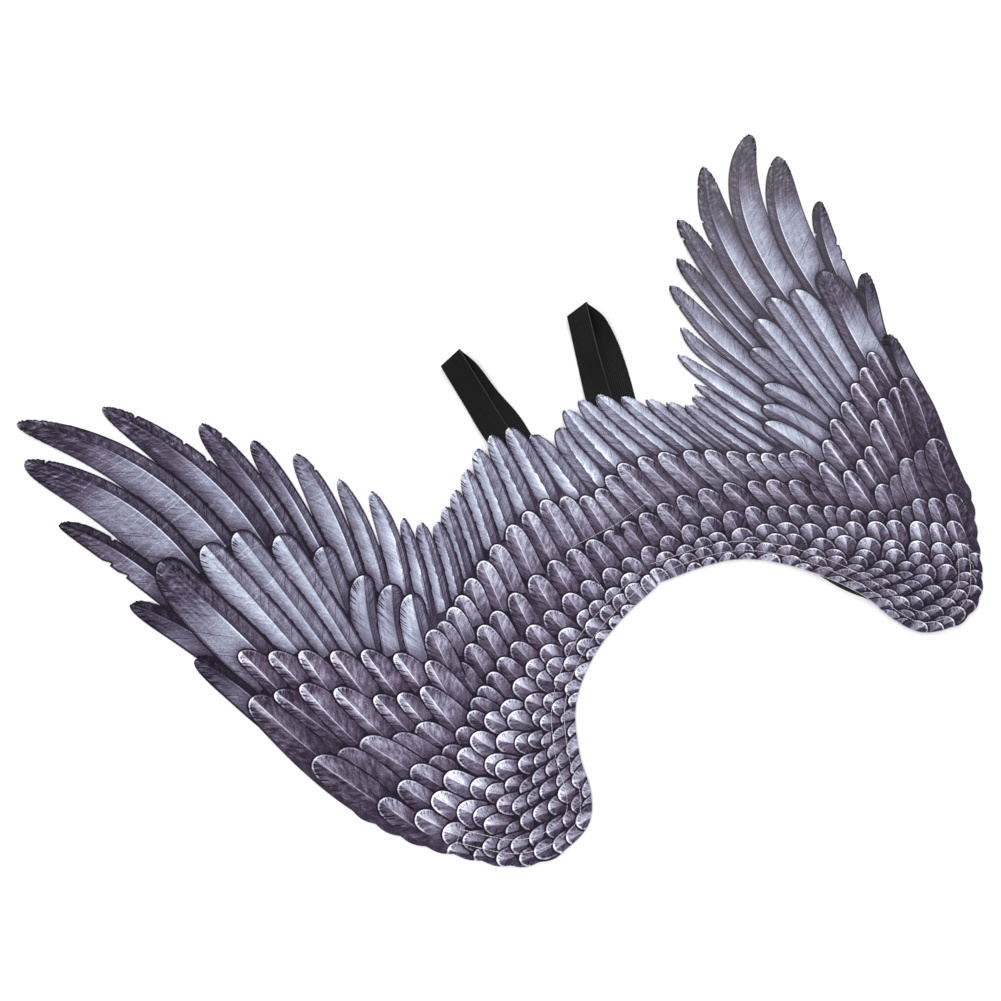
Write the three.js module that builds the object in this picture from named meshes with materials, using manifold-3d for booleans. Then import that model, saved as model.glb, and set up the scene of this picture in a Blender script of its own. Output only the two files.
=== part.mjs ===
// Costume wings: two printed cloth wings sewn together at a centre seam, with a tape sewn behind the
// neck edge, a patch sewn behind the middle and two elastic loops for the arms.
// Millimetres, +Z up. The wings lie face up on a floor, with the feather tips towards +Y.
// The pattern frame has its origin on the floor under the centre seam. Its tables give the right wing,
// where x is the distance from the seam, and the left wing is the mirror of it.

import * as THREE from "three";
import { mergeVertices } from "three/addons/utils/BufferGeometryUtils.js";
import Module from "manifold-3d";

const wasm = await Module();
wasm.setup();

// Driving dimensions
const GAP = 0.3; // clearance between pieces that are sewn together
const WELD = 1e-4; // points nearer than this are one point
const CUT = { low: -1, high: 15 }; // heights that an upright cut reaches through the cloth
const CLOTH = 1.2; // thickness of the printed cloth
const WING_REACH = { outer: 525, low: -440, high: 290 }; // pattern area that one wing is cut from
const DRAPE_CELL = 27; // spacing of the points that carry the drape of the cloth
const TAPE = { width: 20, thick: 1, inset: 6, stations: 44 };
const TAPE_END = 0.64; // share of the neck edge, from the seam, where the tape ends
const TAPE_SLIP = 7.5; // how far the tape has slipped outwards under the lifted edge
const PATCH = { width: 108, low: -215, high: -159, thick: 1 };
const ELASTIC = 1.2; // thickness of the arm loops
const FOLD_RADIUS = 1.6; // bend of an arm loop at its far end
const FOLD_STEPS = 6;
const LOFT_STEPS = 4; // sections between two rows of a strap table

// Drape of the cloth over what is sewn behind it
const RAISED = { height: 4.6, left: -75, right: 122, low: -212, fade: 55, lowFade: 30 };
const TAPE_RISE = { height: TAPE.thick + 2 * GAP, flat: 24, fade: 60 };
const RIPPLE = { height: 0.9, length: 240, slant: 0.4, start: 170, full: 320 };
const LIFTED_EDGE = { x: 163, y: -337, height: 3.2, radius: 34 };

const table = (columns, rows) =>
  rows.map((row) => Object.fromEntries(columns.map((name, i) => [name, row[i]])));

// The feathers along the cut edge, from the leading edge to the centre seam. Each has a shaft through
// its root, middle and tip, and a vane on its inner and outer side with a width and a bluntness: the
// blunter a vane, the nearer to the tip it keeps its width.
const EDGE_FEATHERS = table(
  ["rootX", "rootY", "midX", "midY", "tipX", "tipY", "inner", "outer", "innerBlunt", "outerBlunt"],
  [
    [388, -215, 410, -150, 432, -93, 15, 9, 7, 7],
    [404, -130, 431, -68, 465, -4, 17, 9, 7, 7],
    [418, -60, 457, 42, 497, 123, 20, 7, 5, 5],
    [390, -20, 427, 114, 503, 220, 12, 37, 7, 3.3],
    [352, -30, 396, 146, 495, 276, 14.5, 32, 7, 2.8],
    [322, -50, 339, 100, 406, 251, 16, 30, 5, 2.8],
    [299, -90, 299, 45, 320, 175, 12, 20, 7, 7],
    [278, -110, 274, 25, 280, 125, 9, 17, 6, 5],
    [262, -120, 244, 0, 247, 86, 9, 23, 5, 2.6],
    [244, -125, 225, -45, 221, 32, 7, 16, 5, 3],
    [226, -135, 204, -65, 198, 1, 7, 17, 5, 3],
    [214, -160, 197, -105, 184, -46, 6, 12, 6, 4],
    [198, -165, 183, -110, 171, -60, 8, 11, 7, 7],
    [183, -165, 168, -118, 156, -67, 8, 11, 6, 6],
    [166, -160, 152, -105, 139, -55, 9, 12, 6, 5],
    [148, -150, 133, -92, 121, -41, 9, 12, 6, 5],
    [125, -135, 111, -78, 99, -25, 10, 13, 6, 5],
    [101, -125, 87, -62, 76, -8, 13, 13, 5, 5],
    [72, -118, 62, -55, 53, 0, 13, 13, 5, 5],
    [44, -120, 36, -60, 31, 0, 13, 14, 6, 6],
    [12, -125, 12, -70, 15, -21, 14, 13, 5, 5],
  ],
);
const FEATHER_STEPS = 12; // points along each vane
const ROOT_VANE = 0.8; // width of a vane at its root, as a share of its full width
const FULL_VANE = 0.4; // share of a shaft where its vanes reach their full width
const BODY_JOIN = 0.42; // share of a shaft where the feather runs into the body of the wing

// The cut edge from the seam round the neck and the wrist to the leading edge
const NECK_EDGE = table(
  ["x", "y"],
  [
    [0, -244],
    [50, -257.5],
    [100, -280],
    [140, -314],
    [163, -358],
    [173, -393],
    [190, -416],
    [225, -425.5],
    [262, -417],
    [300, -386],
    [331, -354],
    [366, -300],
    [389, -245],
    [408, -180],
    [416, -150],
  ],
);
const NECK_STEPS = 108;
const SCALLOPS = { from: 0.46, to: 0.76, count: 8, depth: 2.2 }; // cut round the scales of the wrist

// How the cloth of the right wing was pushed as it was laid down: each row moves the cloth near a
// point of the pattern by a small step that fades over its reach. The left wing lies as it was cut.
const LAY = table(
  ["x", "y", "stepX", "stepY", "reach"],
  [
    [95, -275, 0, 14, 75],
    [172, -375, 6, 3, 45],
    [372, -268, -12, 2, 70],
    [434, -92, -8, -4, 45],
    [380, 18, -2, -10, 50],
    [500, 270, 4, -2, 45],
    [415, -150, -5, 0, 35],
    [325, -355, -9, 2, 45],
    [323, 175, 1, 10, 45],
    [250, 85, 0, 9, 40],
    [200, 0, -6, -2, 40],
    [28, -5, 3, -9, 35],
  ],
);

// The arm loops. Each row is a section across the elastic, from its left edge a to its right edge b:
// the upper leg runs from the patch to the fold, and the lower leg runs back to the patch.
const SECTION = ["ax", "ay", "az", "bx", "by", "bz"];
const STRAPS = {
  strap_left: {
    upper: table(SECTION, [
      [-56, -198, 3.4, -26, -198, 3.4],
      [-58, -100, 3.4, -28, -100, 3.4],
      [-60.2, 5, 2.2, -29.8, 8, 3.4],
      [-56.4, 58, 0.9, -29.8, 57.5, 13],
      [-53.2, 116, 3.6, -28.7, 115, 20.6],
    ]),
    lower: table(SECTION, [
      [-46.8, 96, 0.9, -19, 95.4, 12],
      [-44.6, 54, 0.8, -14.9, 53.5, 4],
      [-40.5, 14, 0.8, -10.5, 14, 1],
      [-42.5, -21, 0.8, -12.5, -21, 0.8],
      [-48, -110, 0.8, -18, -110, 0.8],
      [-50, -148, 1.9, -20, -148, 1.9],
      [-52, -198, 1.9, -22, -198, 1.9],
    ]),
  },
  strap_right: {
    upper: table(SECTION, [
      [1.8, -190.2, 3.4, 30.2, -199.8, 3.4],
      [31.9, -99.9, 3.4, 60.1, -110.1, 3.4],
      [66.4, 0.5, 2.2, 94.2, -10, 3],
      [86, 47.5, 0.9, 107.6, 38.5, 18.5],
      [110.2, 107, 4, 132.8, 101.7, 22],
    ]),
    lower: table(SECTION, [
      [118, 91.7, 0.9, 144, 85, 14],
      [115, 65.2, 0.8, 143.2, 56.6, 6],
      [103.8, 24.9, 0.8, 131.7, 14, 1.5],
      [81.1, -33.6, 0.8, 109, -44.5, 0.8],
      [52, -106.5, 0.8, 80, -117.5, 0.8],
      [37, -143, 1.9, 65, -154, 1.9],
      [24, -184.5, 1.9, 52, -195.5, 1.9],
    ]),
  },
};

const clothMaterial = new THREE.MeshStandardMaterial({ color: 0x6f6a7d, roughness: 0.75, metalness: 0 });
const tapeMaterial = new THREE.MeshStandardMaterial({ color: 0x1b1b1d, roughness: 0.85, metalness: 0 });
const elasticMaterial = new THREE.MeshStandardMaterial({ color: 0x151516, roughness: 0.8, metalness: 0 });

const smooth = THREE.MathUtils.smoothstep;
const vec = (x, y, z = 0) => new THREE.Vector3(x, y, z);

// Solids from geometry, for joining and cutting
function solidOf(geometry) {
  const bare = new THREE.BufferGeometry();
  bare.setAttribute("position", geometry.getAttribute("position"));
  if (geometry.index) bare.setIndex(geometry.index);
  const merged = mergeVertices(bare, WELD);
  const vertProperties = new Float32Array(merged.getAttribute("position").array);
  const triVerts = new Uint32Array(merged.index.array);
  return new wasm.Manifold(new wasm.Mesh({ numProp: 3, vertProperties, triVerts }));
}

function geometryOf(solid) {
  const { vertProperties, triVerts } = solid.getMesh();
  const geometry = new THREE.BufferGeometry();
  geometry.setAttribute("position", new THREE.BufferAttribute(vertProperties, 3));
  geometry.setIndex(new THREE.BufferAttribute(triVerts, 1));
  geometry.computeVertexNormals();
  return geometry;
}

function namedMesh(name, geometry, material) {
  const mesh = new THREE.Mesh(geometry, material);
  mesh.name = name;
  return mesh;
}

// A flat outline as an upright prism between two heights
function prism(points, low, high) {
  const shape = new THREE.Shape(points);
  const geometry = new THREE.ExtrudeGeometry(shape, { depth: high - low, bevelEnabled: false, steps: 1 });
  return geometry.translate(0, 0, low);
}

// The bowed shaft of a feather, through its middle
function shaftOf({ rootX, rootY, midX, midY, tipX, tipY }) {
  const root = new THREE.Vector2(rootX, rootY);
  const tip = new THREE.Vector2(tipX, tipY);
  const bend = new THREE.Vector2(midX, midY).multiplyScalar(2);
  bend.addScaledVector(root, -0.5).addScaledVector(tip, -0.5);
  return new THREE.QuadraticBezierCurve(root, bend, tip);
}

// The closed outline of a feather: up its inner vane, round the tip and down its outer vane
function featherOutline(feather) {
  const shaft = shaftOf(feather);
  const vanePoint = (t, width, blunt) => {
    const along = shaft.getTangent(t);
    const share = Math.sqrt(1 - t ** blunt) * THREE.MathUtils.lerp(ROOT_VANE, 1, smooth(t, 0, FULL_VANE));
    const across = new THREE.Vector2(-along.y, along.x).multiplyScalar(width * share);
    return shaft.getPoint(t).add(across);
  };
  const steps = Array.from({ length: FEATHER_STEPS }, (_, i) => 1 - (1 - i / FEATHER_STEPS) ** 2);
  const innerSide = steps.map((t) => vanePoint(t, feather.inner, feather.innerBlunt));
  const outerSide = steps.map((t) => vanePoint(t, -feather.outer, feather.outerBlunt));
  return [...outerSide, shaft.getPoint(1), ...innerSide.reverse()];
}

// A pattern point where it lies on the floor, on one side of the seam
function laid(point, side) {
  const place = new THREE.Vector2(point.x, point.y);
  if (side > 0) {
    for (const { x, y, stepX, stepY, reach } of LAY) {
      const away = Math.hypot(point.x - x, point.y - y) / reach;
      place.add(new THREE.Vector2(stepX, stepY).multiplyScalar(Math.exp(-away * away)));
    }
  }
  return new THREE.Vector2(side * place.x, place.y);
}

const neckEdge = new THREE.CatmullRomCurve3(
  NECK_EDGE.map(({ x, y }) => vec(x, y)),
  false,
  "centripetal",
);

// A point beside the cut edge, inset into the cloth, at a share of the edge's length
function insetPoint(share, inset) {
  const along = neckEdge.getTangentAt(share);
  return neckEdge.getPointAt(share).add(vec(-along.y, along.x).multiplyScalar(inset));
}

// The body of a wing: the cut edge, then back to the seam along the feet of the edge feathers
function bodyOutline() {
  const cutEdge = Array.from({ length: NECK_STEPS + 1 }, (_, i) => {
    const share = i / NECK_STEPS;
    const along = (share - SCALLOPS.from) / (SCALLOPS.to - SCALLOPS.from);
    const scalloped = along > 0 && along < 1;
    const bump = scalloped ? SCALLOPS.depth * Math.abs(Math.sin(Math.PI * SCALLOPS.count * along)) : 0;
    return insetPoint(share, -bump);
  });
  const feet = EDGE_FEATHERS.map((feather) => shaftOf(feather).getPoint(BODY_JOIN));
  const seamTop = new THREE.Vector2(0, feet[feet.length - 1].y);
  return [...cutEdge, ...feet, seamTop];
}

// The tape's stations along the cut edge, from the seam, and its centre line on both sides
const tapeStations = Array.from({ length: TAPE.stations + 1 }, (_, i) => (TAPE_END * i) / TAPE.stations);
const tapeLine = [-1, 1].flatMap((side) =>
  tapeStations.map((share) => laid(insetPoint(share, TAPE.inset + TAPE.width / 2), side)),
);

// Height of the underside of the cloth above the floor, at a point of the pattern frame
function drape(x, y) {
  const across = smooth(x, RAISED.left - RAISED.fade, RAISED.left);
  const back = 1 - smooth(x, RAISED.right, RAISED.right + RAISED.fade);
  const raised = RAISED.height * across * back * smooth(y, RAISED.low - RAISED.lowFade, RAISED.low);
  const here = new THREE.Vector2(x, y);
  const toTape = Math.min(...tapeLine.map((p) => p.distanceTo(here)));
  const overTape = TAPE_RISE.height * (1 - smooth(toTape, TAPE_RISE.flat, TAPE_RISE.flat + TAPE_RISE.fade));
  const swing = Math.sin((2 * Math.PI * (x + RIPPLE.slant * y)) / RIPPLE.length);
  const ripple = (RIPPLE.height / 2) * (1 + swing) * smooth(Math.abs(x), RIPPLE.start, RIPPLE.full);
  const away = Math.hypot(x - LIFTED_EDGE.x, y - LIFTED_EDGE.y) / LIFTED_EDGE.radius;
  const lifted = LIFTED_EDGE.height * Math.exp(-away * away);
  return Math.max(raised, overTape) + ripple + lifted;
}

// A draped slab of cloth that a wing is cut from, on one side of the seam
function drapedSlab(side) {
  const near = GAP / 2;
  const columns = Math.round((WING_REACH.outer - near) / DRAPE_CELL);
  const rows = Math.round((WING_REACH.high - WING_REACH.low) / DRAPE_CELL);
  const positions = [];
  const index = [];
  const layer = (columns + 1) * (rows + 1);
  for (const lift of [0, CLOTH]) {
    for (let r = 0; r <= rows; r++) {
      for (let c = 0; c <= columns; c++) {
        const x = side * THREE.MathUtils.lerp(near, WING_REACH.outer, c / columns);
        const y = THREE.MathUtils.lerp(WING_REACH.low, WING_REACH.high, r / rows);
        positions.push(x, y, drape(x, y) + lift);
      }
    }
  }
  const at = (c, r, top) => (top ? layer : 0) + r * (columns + 1) + c;
  const quad = (a, b, c, d) => {
    if (side > 0) index.push(a, b, c, a, c, d);
    else index.push(a, c, b, a, d, c);
  };
  for (let r = 0; r < rows; r++) {
    for (let c = 0; c < columns; c++) {
      quad(at(c, r, true), at(c + 1, r, true), at(c + 1, r + 1, true), at(c, r + 1, true));
      quad(at(c, r, false), at(c, r + 1, false), at(c + 1, r + 1, false), at(c + 1, r, false));
    }
    quad(at(0, r, false), at(0, r, true), at(0, r + 1, true), at(0, r + 1, false));
    quad(at(columns, r, false), at(columns, r + 1, false), at(columns, r + 1, true), at(columns, r, true));
  }
  for (let c = 0; c < columns; c++) {
    quad(at(c, 0, false), at(c + 1, 0, false), at(c + 1, 0, true), at(c, 0, true));
    quad(at(c, rows, false), at(c, rows, true), at(c + 1, rows, true), at(c + 1, rows, false));
  }
  const geometry = new THREE.BufferGeometry();
  geometry.setAttribute("position", new THREE.Float32BufferAttribute(positions, 3));
  geometry.setIndex(index);
  return solidOf(geometry);
}

// A wing: the body and its edge feathers joined as one outline and cut from the draped slab
function wing(side) {
  const placed = (points) => {
    const outline = points.map((point) => laid(point, side));
    return side > 0 ? outline : outline.reverse();
  };
  let cut = solidOf(prism(placed(bodyOutline()), CUT.low, CUT.high));
  for (const feather of EDGE_FEATHERS) {
    cut = cut.add(solidOf(prism(placed(featherOutline(feather)), CUT.low, CUT.high)));
  }
  return geometryOf(cut.intersect(drapedSlab(side)));
}

// The tape: one flat strip from wrist to wrist behind the neck edge. On the right it shows a little
// past the edge where the cloth is lifted.
function tapeOutline() {
  const sideEdge = (side, inset) =>
    tapeStations.slice(1).map((share) => {
      const point = laid(insetPoint(share, inset), side);
      const away = Math.hypot(point.x - LIFTED_EDGE.x, point.y - LIFTED_EDGE.y) / LIFTED_EDGE.radius;
      const slip = TAPE_SLIP * Math.exp(-away * away);
      return laid(insetPoint(share, inset - slip), side);
    });
  const whole = (inset) => [...sideEdge(-1, inset).reverse(), ...sideEdge(1, inset)];
  return [...whole(TAPE.inset), ...whole(TAPE.inset + TAPE.width).reverse()];
}

function patchOutline() {
  const half = PATCH.width / 2;
  return [
    new THREE.Vector2(-half, PATCH.low),
    new THREE.Vector2(half, PATCH.low),
    new THREE.Vector2(half, PATCH.high),
    new THREE.Vector2(-half, PATCH.high),
  ];
}

// The sections of an arm loop: the upper leg, a round fold and the lower leg
function strapSections({ upper, lower }) {
  const edges = ({ ax, ay, az, bx, by, bz }) => ({ a: vec(ax, ay, az), b: vec(bx, by, bz) });
  const up = upper.map(edges);
  const top = up[up.length - 1];
  const before = up[up.length - 2];
  const across = top.b.clone().sub(top.a).normalize();
  const along = top.a.clone().sub(before.a).normalize();
  const face = across.clone().cross(along).normalize();
  along.copy(face).cross(across);
  const fold = Array.from({ length: FOLD_STEPS }, (_, i) => {
    const turn = (Math.PI * (i + 1)) / FOLD_STEPS;
    const move = along.clone().multiplyScalar(FOLD_RADIUS * Math.sin(turn));
    move.addScaledVector(face, FOLD_RADIUS * (Math.cos(turn) - 1));
    return { a: top.a.clone().add(move), b: top.b.clone().add(move) };
  });
  return [...up, ...fold, ...lower.map(edges)];
}

// A flat strip lofted through sections, with a thickness on each side of its middle surface
function ribbon(sections, thick) {
  const curve = (edge) => new THREE.CatmullRomCurve3(sections.map((s) => s[edge]), false, "centripetal");
  const [edgeA, edgeB] = [curve("a"), curve("b")];
  const count = (sections.length - 1) * LOFT_STEPS;
  const positions = [];
  for (let i = 0; i <= count; i++) {
    const t = i / count;
    const [a, b] = [edgeA.getPoint(t), edgeB.getPoint(t)];
    const along = edgeA.getTangent(t).add(edgeB.getTangent(t));
    const face = b.clone().sub(a).cross(along).setLength(thick / 2);
    for (const corner of [a.clone().add(face), b.clone().add(face), b.clone().sub(face), a.clone().sub(face)])
      positions.push(corner.x, corner.y, corner.z);
  }
  const index = [];
  const quad = (a, b, c, d) => index.push(a, b, c, a, c, d);
  for (let i = 0; i < count; i++) {
    for (let k = 0; k < 4; k++) {
      const next = (k + 1) % 4;
      quad(4 * i + k, 4 * i + next, 4 * i + 4 + next, 4 * i + 4 + k);
    }
  }
  quad(0, 3, 2, 1);
  quad(4 * count, 4 * count + 1, 4 * count + 2, 4 * count + 3);
  const geometry = new THREE.BufferGeometry();
  geometry.setAttribute("position", new THREE.Float32BufferAttribute(positions, 3));
  geometry.setIndex(index);
  geometry.computeVertexNormals();
  return geometry;
}

const wings = new THREE.Group();
wings.add(namedMesh("right_wing", wing(1), clothMaterial));
wings.add(namedMesh("left_wing", wing(-1), clothMaterial));
wings.add(namedMesh("edge_tape", prism(tapeOutline(), 0, TAPE.thick), tapeMaterial));
wings.add(namedMesh("back_patch", prism(patchOutline(), 0, PATCH.thick), clothMaterial));
for (const [name, legs] of Object.entries(STRAPS)) {
  wings.add(namedMesh(name, ribbon(strapSections(legs), ELASTIC), elasticMaterial));
}

// The part's origin is the bottom centre of the whole object.
const box = new THREE.Box3().setFromObject(wings);
const centre = box.getCenter(new THREE.Vector3());
wings.position.set(-centre.x, -centre.y, -box.min.z);

export default wings;
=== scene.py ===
# %% [markdown]
# # Costume wings
# A pair of flat cloth wings, printed with feathers and cut round them, lies face up on a pale floor.
# Two black elastic loops for the arms come out from under the cloth. This lesson dresses the packed
# solids: each cloth and elastic piece is made again with its real surface, in the same frame.
# Lengths in the tables are millimetres of the cutting pattern, and MM turns them into metres.

# %% Load the frame
import math

import bpy
import numpy as np
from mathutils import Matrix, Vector
from mathutils.geometry import delaunay_2d_cdt
from mathutils.kdtree import KDTree


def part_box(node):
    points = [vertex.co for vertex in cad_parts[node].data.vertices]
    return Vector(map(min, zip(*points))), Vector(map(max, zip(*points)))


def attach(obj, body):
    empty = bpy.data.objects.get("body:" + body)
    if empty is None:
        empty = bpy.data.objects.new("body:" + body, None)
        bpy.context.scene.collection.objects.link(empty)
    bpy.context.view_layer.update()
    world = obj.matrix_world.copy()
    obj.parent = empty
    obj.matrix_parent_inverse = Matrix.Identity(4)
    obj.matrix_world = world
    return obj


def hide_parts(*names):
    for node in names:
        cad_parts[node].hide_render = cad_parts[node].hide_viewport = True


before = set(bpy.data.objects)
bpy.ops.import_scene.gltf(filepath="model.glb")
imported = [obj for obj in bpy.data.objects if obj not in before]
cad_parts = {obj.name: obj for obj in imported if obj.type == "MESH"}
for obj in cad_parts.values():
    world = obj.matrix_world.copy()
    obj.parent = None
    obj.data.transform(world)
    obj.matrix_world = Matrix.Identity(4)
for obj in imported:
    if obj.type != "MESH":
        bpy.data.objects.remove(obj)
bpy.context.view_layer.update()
MM = 0.001
SEAM_GAP = 0.3
PATCH = {"width": 108, "low": -215, "high": -159, "thick": 1.0}
pattern_origin = Vector((
    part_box("left_wing")[1].x + SEAM_GAP / 2 * MM,
    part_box("back_patch")[0].y - PATCH["low"] * MM,
    0,
))
print("pattern origin in the part's frame, mm:", [round(c / MM, 2) for c in pattern_origin])


def table(columns, *rows):
    """Rows of values as dictionaries with named columns."""
    names = columns.split()
    return [dict(zip(names, row)) for row in rows]


def to_part(points):
    """Pattern points in millimetres, as an array of x, y and z, in the part's frame in metres."""
    return np.asarray(points, float) * MM + np.array(pattern_origin)


# %% [markdown]
# ## Camera
# The picture was taken from the front left, well above the floor. Its place was worked out from the
# mirror symmetry of the wings, so the camera needs no shift: it stands at that point and looks along
# the angles found there.

# %% Camera
CAMERA_AT = (-434.08, -686.75, 1016.57)
CAMERA_AZIMUTH = -29.7424
CAMERA_ELEVATION = 55.2920
PICTURE = 1001
FOCAL_PIXELS = 1177.709

camera_data = bpy.data.cameras.new("camera")
camera_data.sensor_width = 36
camera_data.lens = FOCAL_PIXELS / PICTURE * camera_data.sensor_width
camera = bpy.data.objects.new("camera", camera_data)
bpy.context.scene.collection.objects.link(camera)
camera.location = to_part([CAMERA_AT])[0]
turn, lift = math.radians(CAMERA_AZIMUTH), math.radians(CAMERA_ELEVATION)
backward = Vector((math.sin(turn) * math.cos(lift), -math.cos(turn) * math.cos(lift), math.sin(lift)))
camera.rotation_euler = backward.to_track_quat("Z", "Y").to_euler()
bpy.context.scene.camera = camera
print("camera lens, mm:", round(camera_data.lens, 2))

# %% [markdown]
# ## Floor and light
# A photograph of a garment on white is lit softly from all round, with a large lamp a little stronger so
# that folds and edges still read. A white sky gives the first and a key lamp on the left the second. A
# smaller and lower lamp behind the right wing gives the far cloth its sheen.

# %% Floor and light
FLOOR = {"size": 12.0, "drop": 0.0004, "color": (0.96, 0.96, 0.96, 1), "roughness": 0.9}
LAMPS = {
    "key_lamp": {"place": (-1.5, -0.9, 2.0), "size": 1.4, "watts": 40},
    "back_lamp": {"place": (1.3, 1.3, 1.05), "size": 0.8, "watts": 13},
}
SKY_STRENGTH = 0.7


def floor_material():
    material = bpy.data.materials.new("pale_floor")
    material.use_nodes = True
    shader = material.node_tree.nodes["Principled BSDF"]
    shader.inputs["Base Color"].default_value = FLOOR["color"]
    shader.inputs["Roughness"].default_value = FLOOR["roughness"]
    return material


def add_floor():
    mesh = bpy.data.meshes.new("floor")
    half = FLOOR["size"] / 2
    corners = [(x * half, y * half, -FLOOR["drop"]) for x, y in ((-1, -1), (1, -1), (1, 1), (-1, 1))]
    mesh.from_pydata(corners, [], [(0, 1, 2, 3)])
    floor = bpy.data.objects.new("floor", mesh)
    floor.data.materials.append(floor_material())
    bpy.context.scene.collection.objects.link(floor)


def add_lamp(name, place, size, watts):
    data = bpy.data.lights.new(name, "AREA")
    data.shape = "DISK"
    data.size = size
    data.energy = watts
    lamp = bpy.data.objects.new(name, data)
    lamp.location = place
    lamp.rotation_euler = Vector(place).to_track_quat("Z", "Y").to_euler()
    bpy.context.scene.collection.objects.link(lamp)


add_floor()
for lamp_name, lamp_values in LAMPS.items():
    add_lamp(lamp_name, **lamp_values)
world = bpy.data.worlds.new("studio")
world.use_nodes = True
sky = world.node_tree.nodes["Background"]
sky.inputs["Color"].default_value = (1, 1, 1, 1)
sky.inputs["Strength"].default_value = SKY_STRENGTH
bpy.context.scene.world = world
bpy.context.scene.view_settings.view_transform = "Standard"
print("floor, sky and lamps are in place:", len(LAMPS), "lamps")

# %% [markdown]
# ## The cutting pattern
# Both wings are cut from one pattern, where x is the distance from the centre seam. The cloth is cut
# round the feathers of its last row. A feather is a bowed shaft through three points with a vane on
# each side: a vane has a width, and a bluntness that says how near to the tip it keeps that width.
# The same numbers cut the solids, so the printed feathers end where the cloth does. A few edges have small
# notches, and the printed shafts of the three leading feathers lie off the middle of the cut shape, so
# each has a shift.

# %% Edge feathers
EDGE_FEATHERS = table(
    "root_x root_y mid_x mid_y tip_x tip_y inner outer inner_blunt outer_blunt",
    (388, -215, 410, -150, 432, -93, 15, 9, 7, 7),
    (404, -130, 431, -68, 465, -4, 17, 9, 7, 7),
    (418, -60, 457, 42, 497, 123, 20, 7, 5, 5),
    (390, -20, 427, 114, 503, 220, 12, 37, 7, 3.3),
    (352, -30, 396, 146, 495, 276, 14.5, 32, 7, 2.8),
    (322, -50, 339, 100, 406, 251, 16, 30, 5, 2.8),
    (299, -90, 299, 45, 320, 175, 12, 20, 7, 7),
    (278, -110, 274, 25, 280, 125, 9, 17, 6, 5),
    (262, -120, 244, 0, 247, 86, 9, 23, 5, 2.6),
    (244, -125, 225, -45, 221, 32, 7, 16, 5, 3),
    (226, -135, 204, -65, 198, 1, 7, 17, 5, 3),
    (214, -160, 197, -105, 184, -46, 6, 12, 6, 4),
    (198, -165, 183, -110, 171, -60, 8, 11, 7, 7),
    (183, -165, 168, -118, 156, -67, 8, 11, 6, 6),
    (166, -160, 152, -105, 139, -55, 9, 12, 6, 5),
    (148, -150, 133, -92, 121, -41, 9, 12, 6, 5),
    (125, -135, 111, -78, 99, -25, 10, 13, 6, 5),
    (101, -125, 87, -62, 76, -8, 13, 13, 5, 5),
    (72, -118, 62, -55, 53, 0, 13, 13, 5, 5),
    (44, -120, 36, -60, 31, 0, 13, 14, 6, 6),
    (12, -125, 12, -70, 15, -21, 14, 13, 5, 5),
)
NOTCHES = table(
    "feather inner t depth reach",
    (5, True, 0.885, 4.5, 0.016), (5, True, 0.68, 3.5, 0.018), (5, True, 0.57, 3, 0.018),
    (6, True, 0.88, 4, 0.02), (3, True, 0.915, 5, 0.014), (2, True, 0.66, 3, 0.03),
    (2, False, 0.56, 3, 0.06), (2, False, 0.44, 3, 0.06), (1, True, 0.62, 3, 0.04), (8, True, 0.8, 2.5, 0.03),
)
SHAFT_SHIFT = {0: 8.0, 1: 9.0, 2: 11.0}
print("feathers of the edge:", len(EDGE_FEATHERS), "notches:", len(NOTCHES))

# %% [markdown]
# ## The shape of a feather
# A feather's outline goes out along its outer vane, round the tip and back along the inner one. Its points
# lie closer together towards the tip, where it turns most, and a notch gets points of its own.

# %% Feather outlines
NOTCH_WIDTH = 0.002
ROOT_VANE = 0.8
FULL_VANE = 0.4
OUTLINE_STEP = 3.0
FEWEST_STEPS = 10
LEAST_VANE = 0.5
LONG, COVERT, SCALE = 0.0, 1.0, 2.0


def smoothstep(x, low, high):
    share = np.clip((x - low) / (high - low), 0, 1)
    return share * share * (3 - 2 * share)


def shaft_points(feather, t):
    """Points of a feather's shaft and its direction there, at shares t from the root to the tip."""
    root, mid, tip = feather["root"], feather["mid"], feather["tip"]
    bend = 2 * mid - (root + tip) / 2
    t = np.asarray(t, float)[:, None]
    point = (1 - t) ** 2 * root + 2 * t * (1 - t) * bend + t * t * tip
    along = 2 * (1 - t) * (bend - root) + 2 * t * (tip - bend)
    return point, along / np.linalg.norm(along, axis=1)[:, None]


def vane_growth(t):
    """Width of a vane from the root outwards, as a share of its full width."""
    return ROOT_VANE + (1 - ROOT_VANE) * smoothstep(t, 0, FULL_VANE)


def outline(feather):
    """The closed outline of a feather: out along its outer vane, round the tip and back."""
    steps = max(FEWEST_STEPS, int(feather["length"] / OUTLINE_STEP))
    t = 1 - (1 - np.arange(steps) / steps) ** 2
    starts = [notch["t"] for notch in feather["notches"]]
    t = np.sort(np.concatenate([t, starts, np.subtract(starts, NOTCH_WIDTH)]))
    point, along = shaft_points(feather, t)
    across = np.stack([-along[:, 1], along[:, 0]], 1)

    def vane(side):
        width = feather[side] * np.sqrt(1 - t ** feather[side + "_blunt"]) * vane_growth(t)
        for notch in feather["notches"]:
            if notch["inner"] == (side == "inner"):
                closed = smoothstep(t, notch["t"], notch["t"] + notch["reach"])
                width = width - notch["depth"] * (t >= notch["t"]) * (1 - closed)
        return np.maximum(width, LEAST_VANE)[:, None]

    inner = point + across * vane("inner")
    outer = point - across * vane("outer")
    return np.vstack([outer, feather["tip"][None], inner[::-1]])


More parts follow.
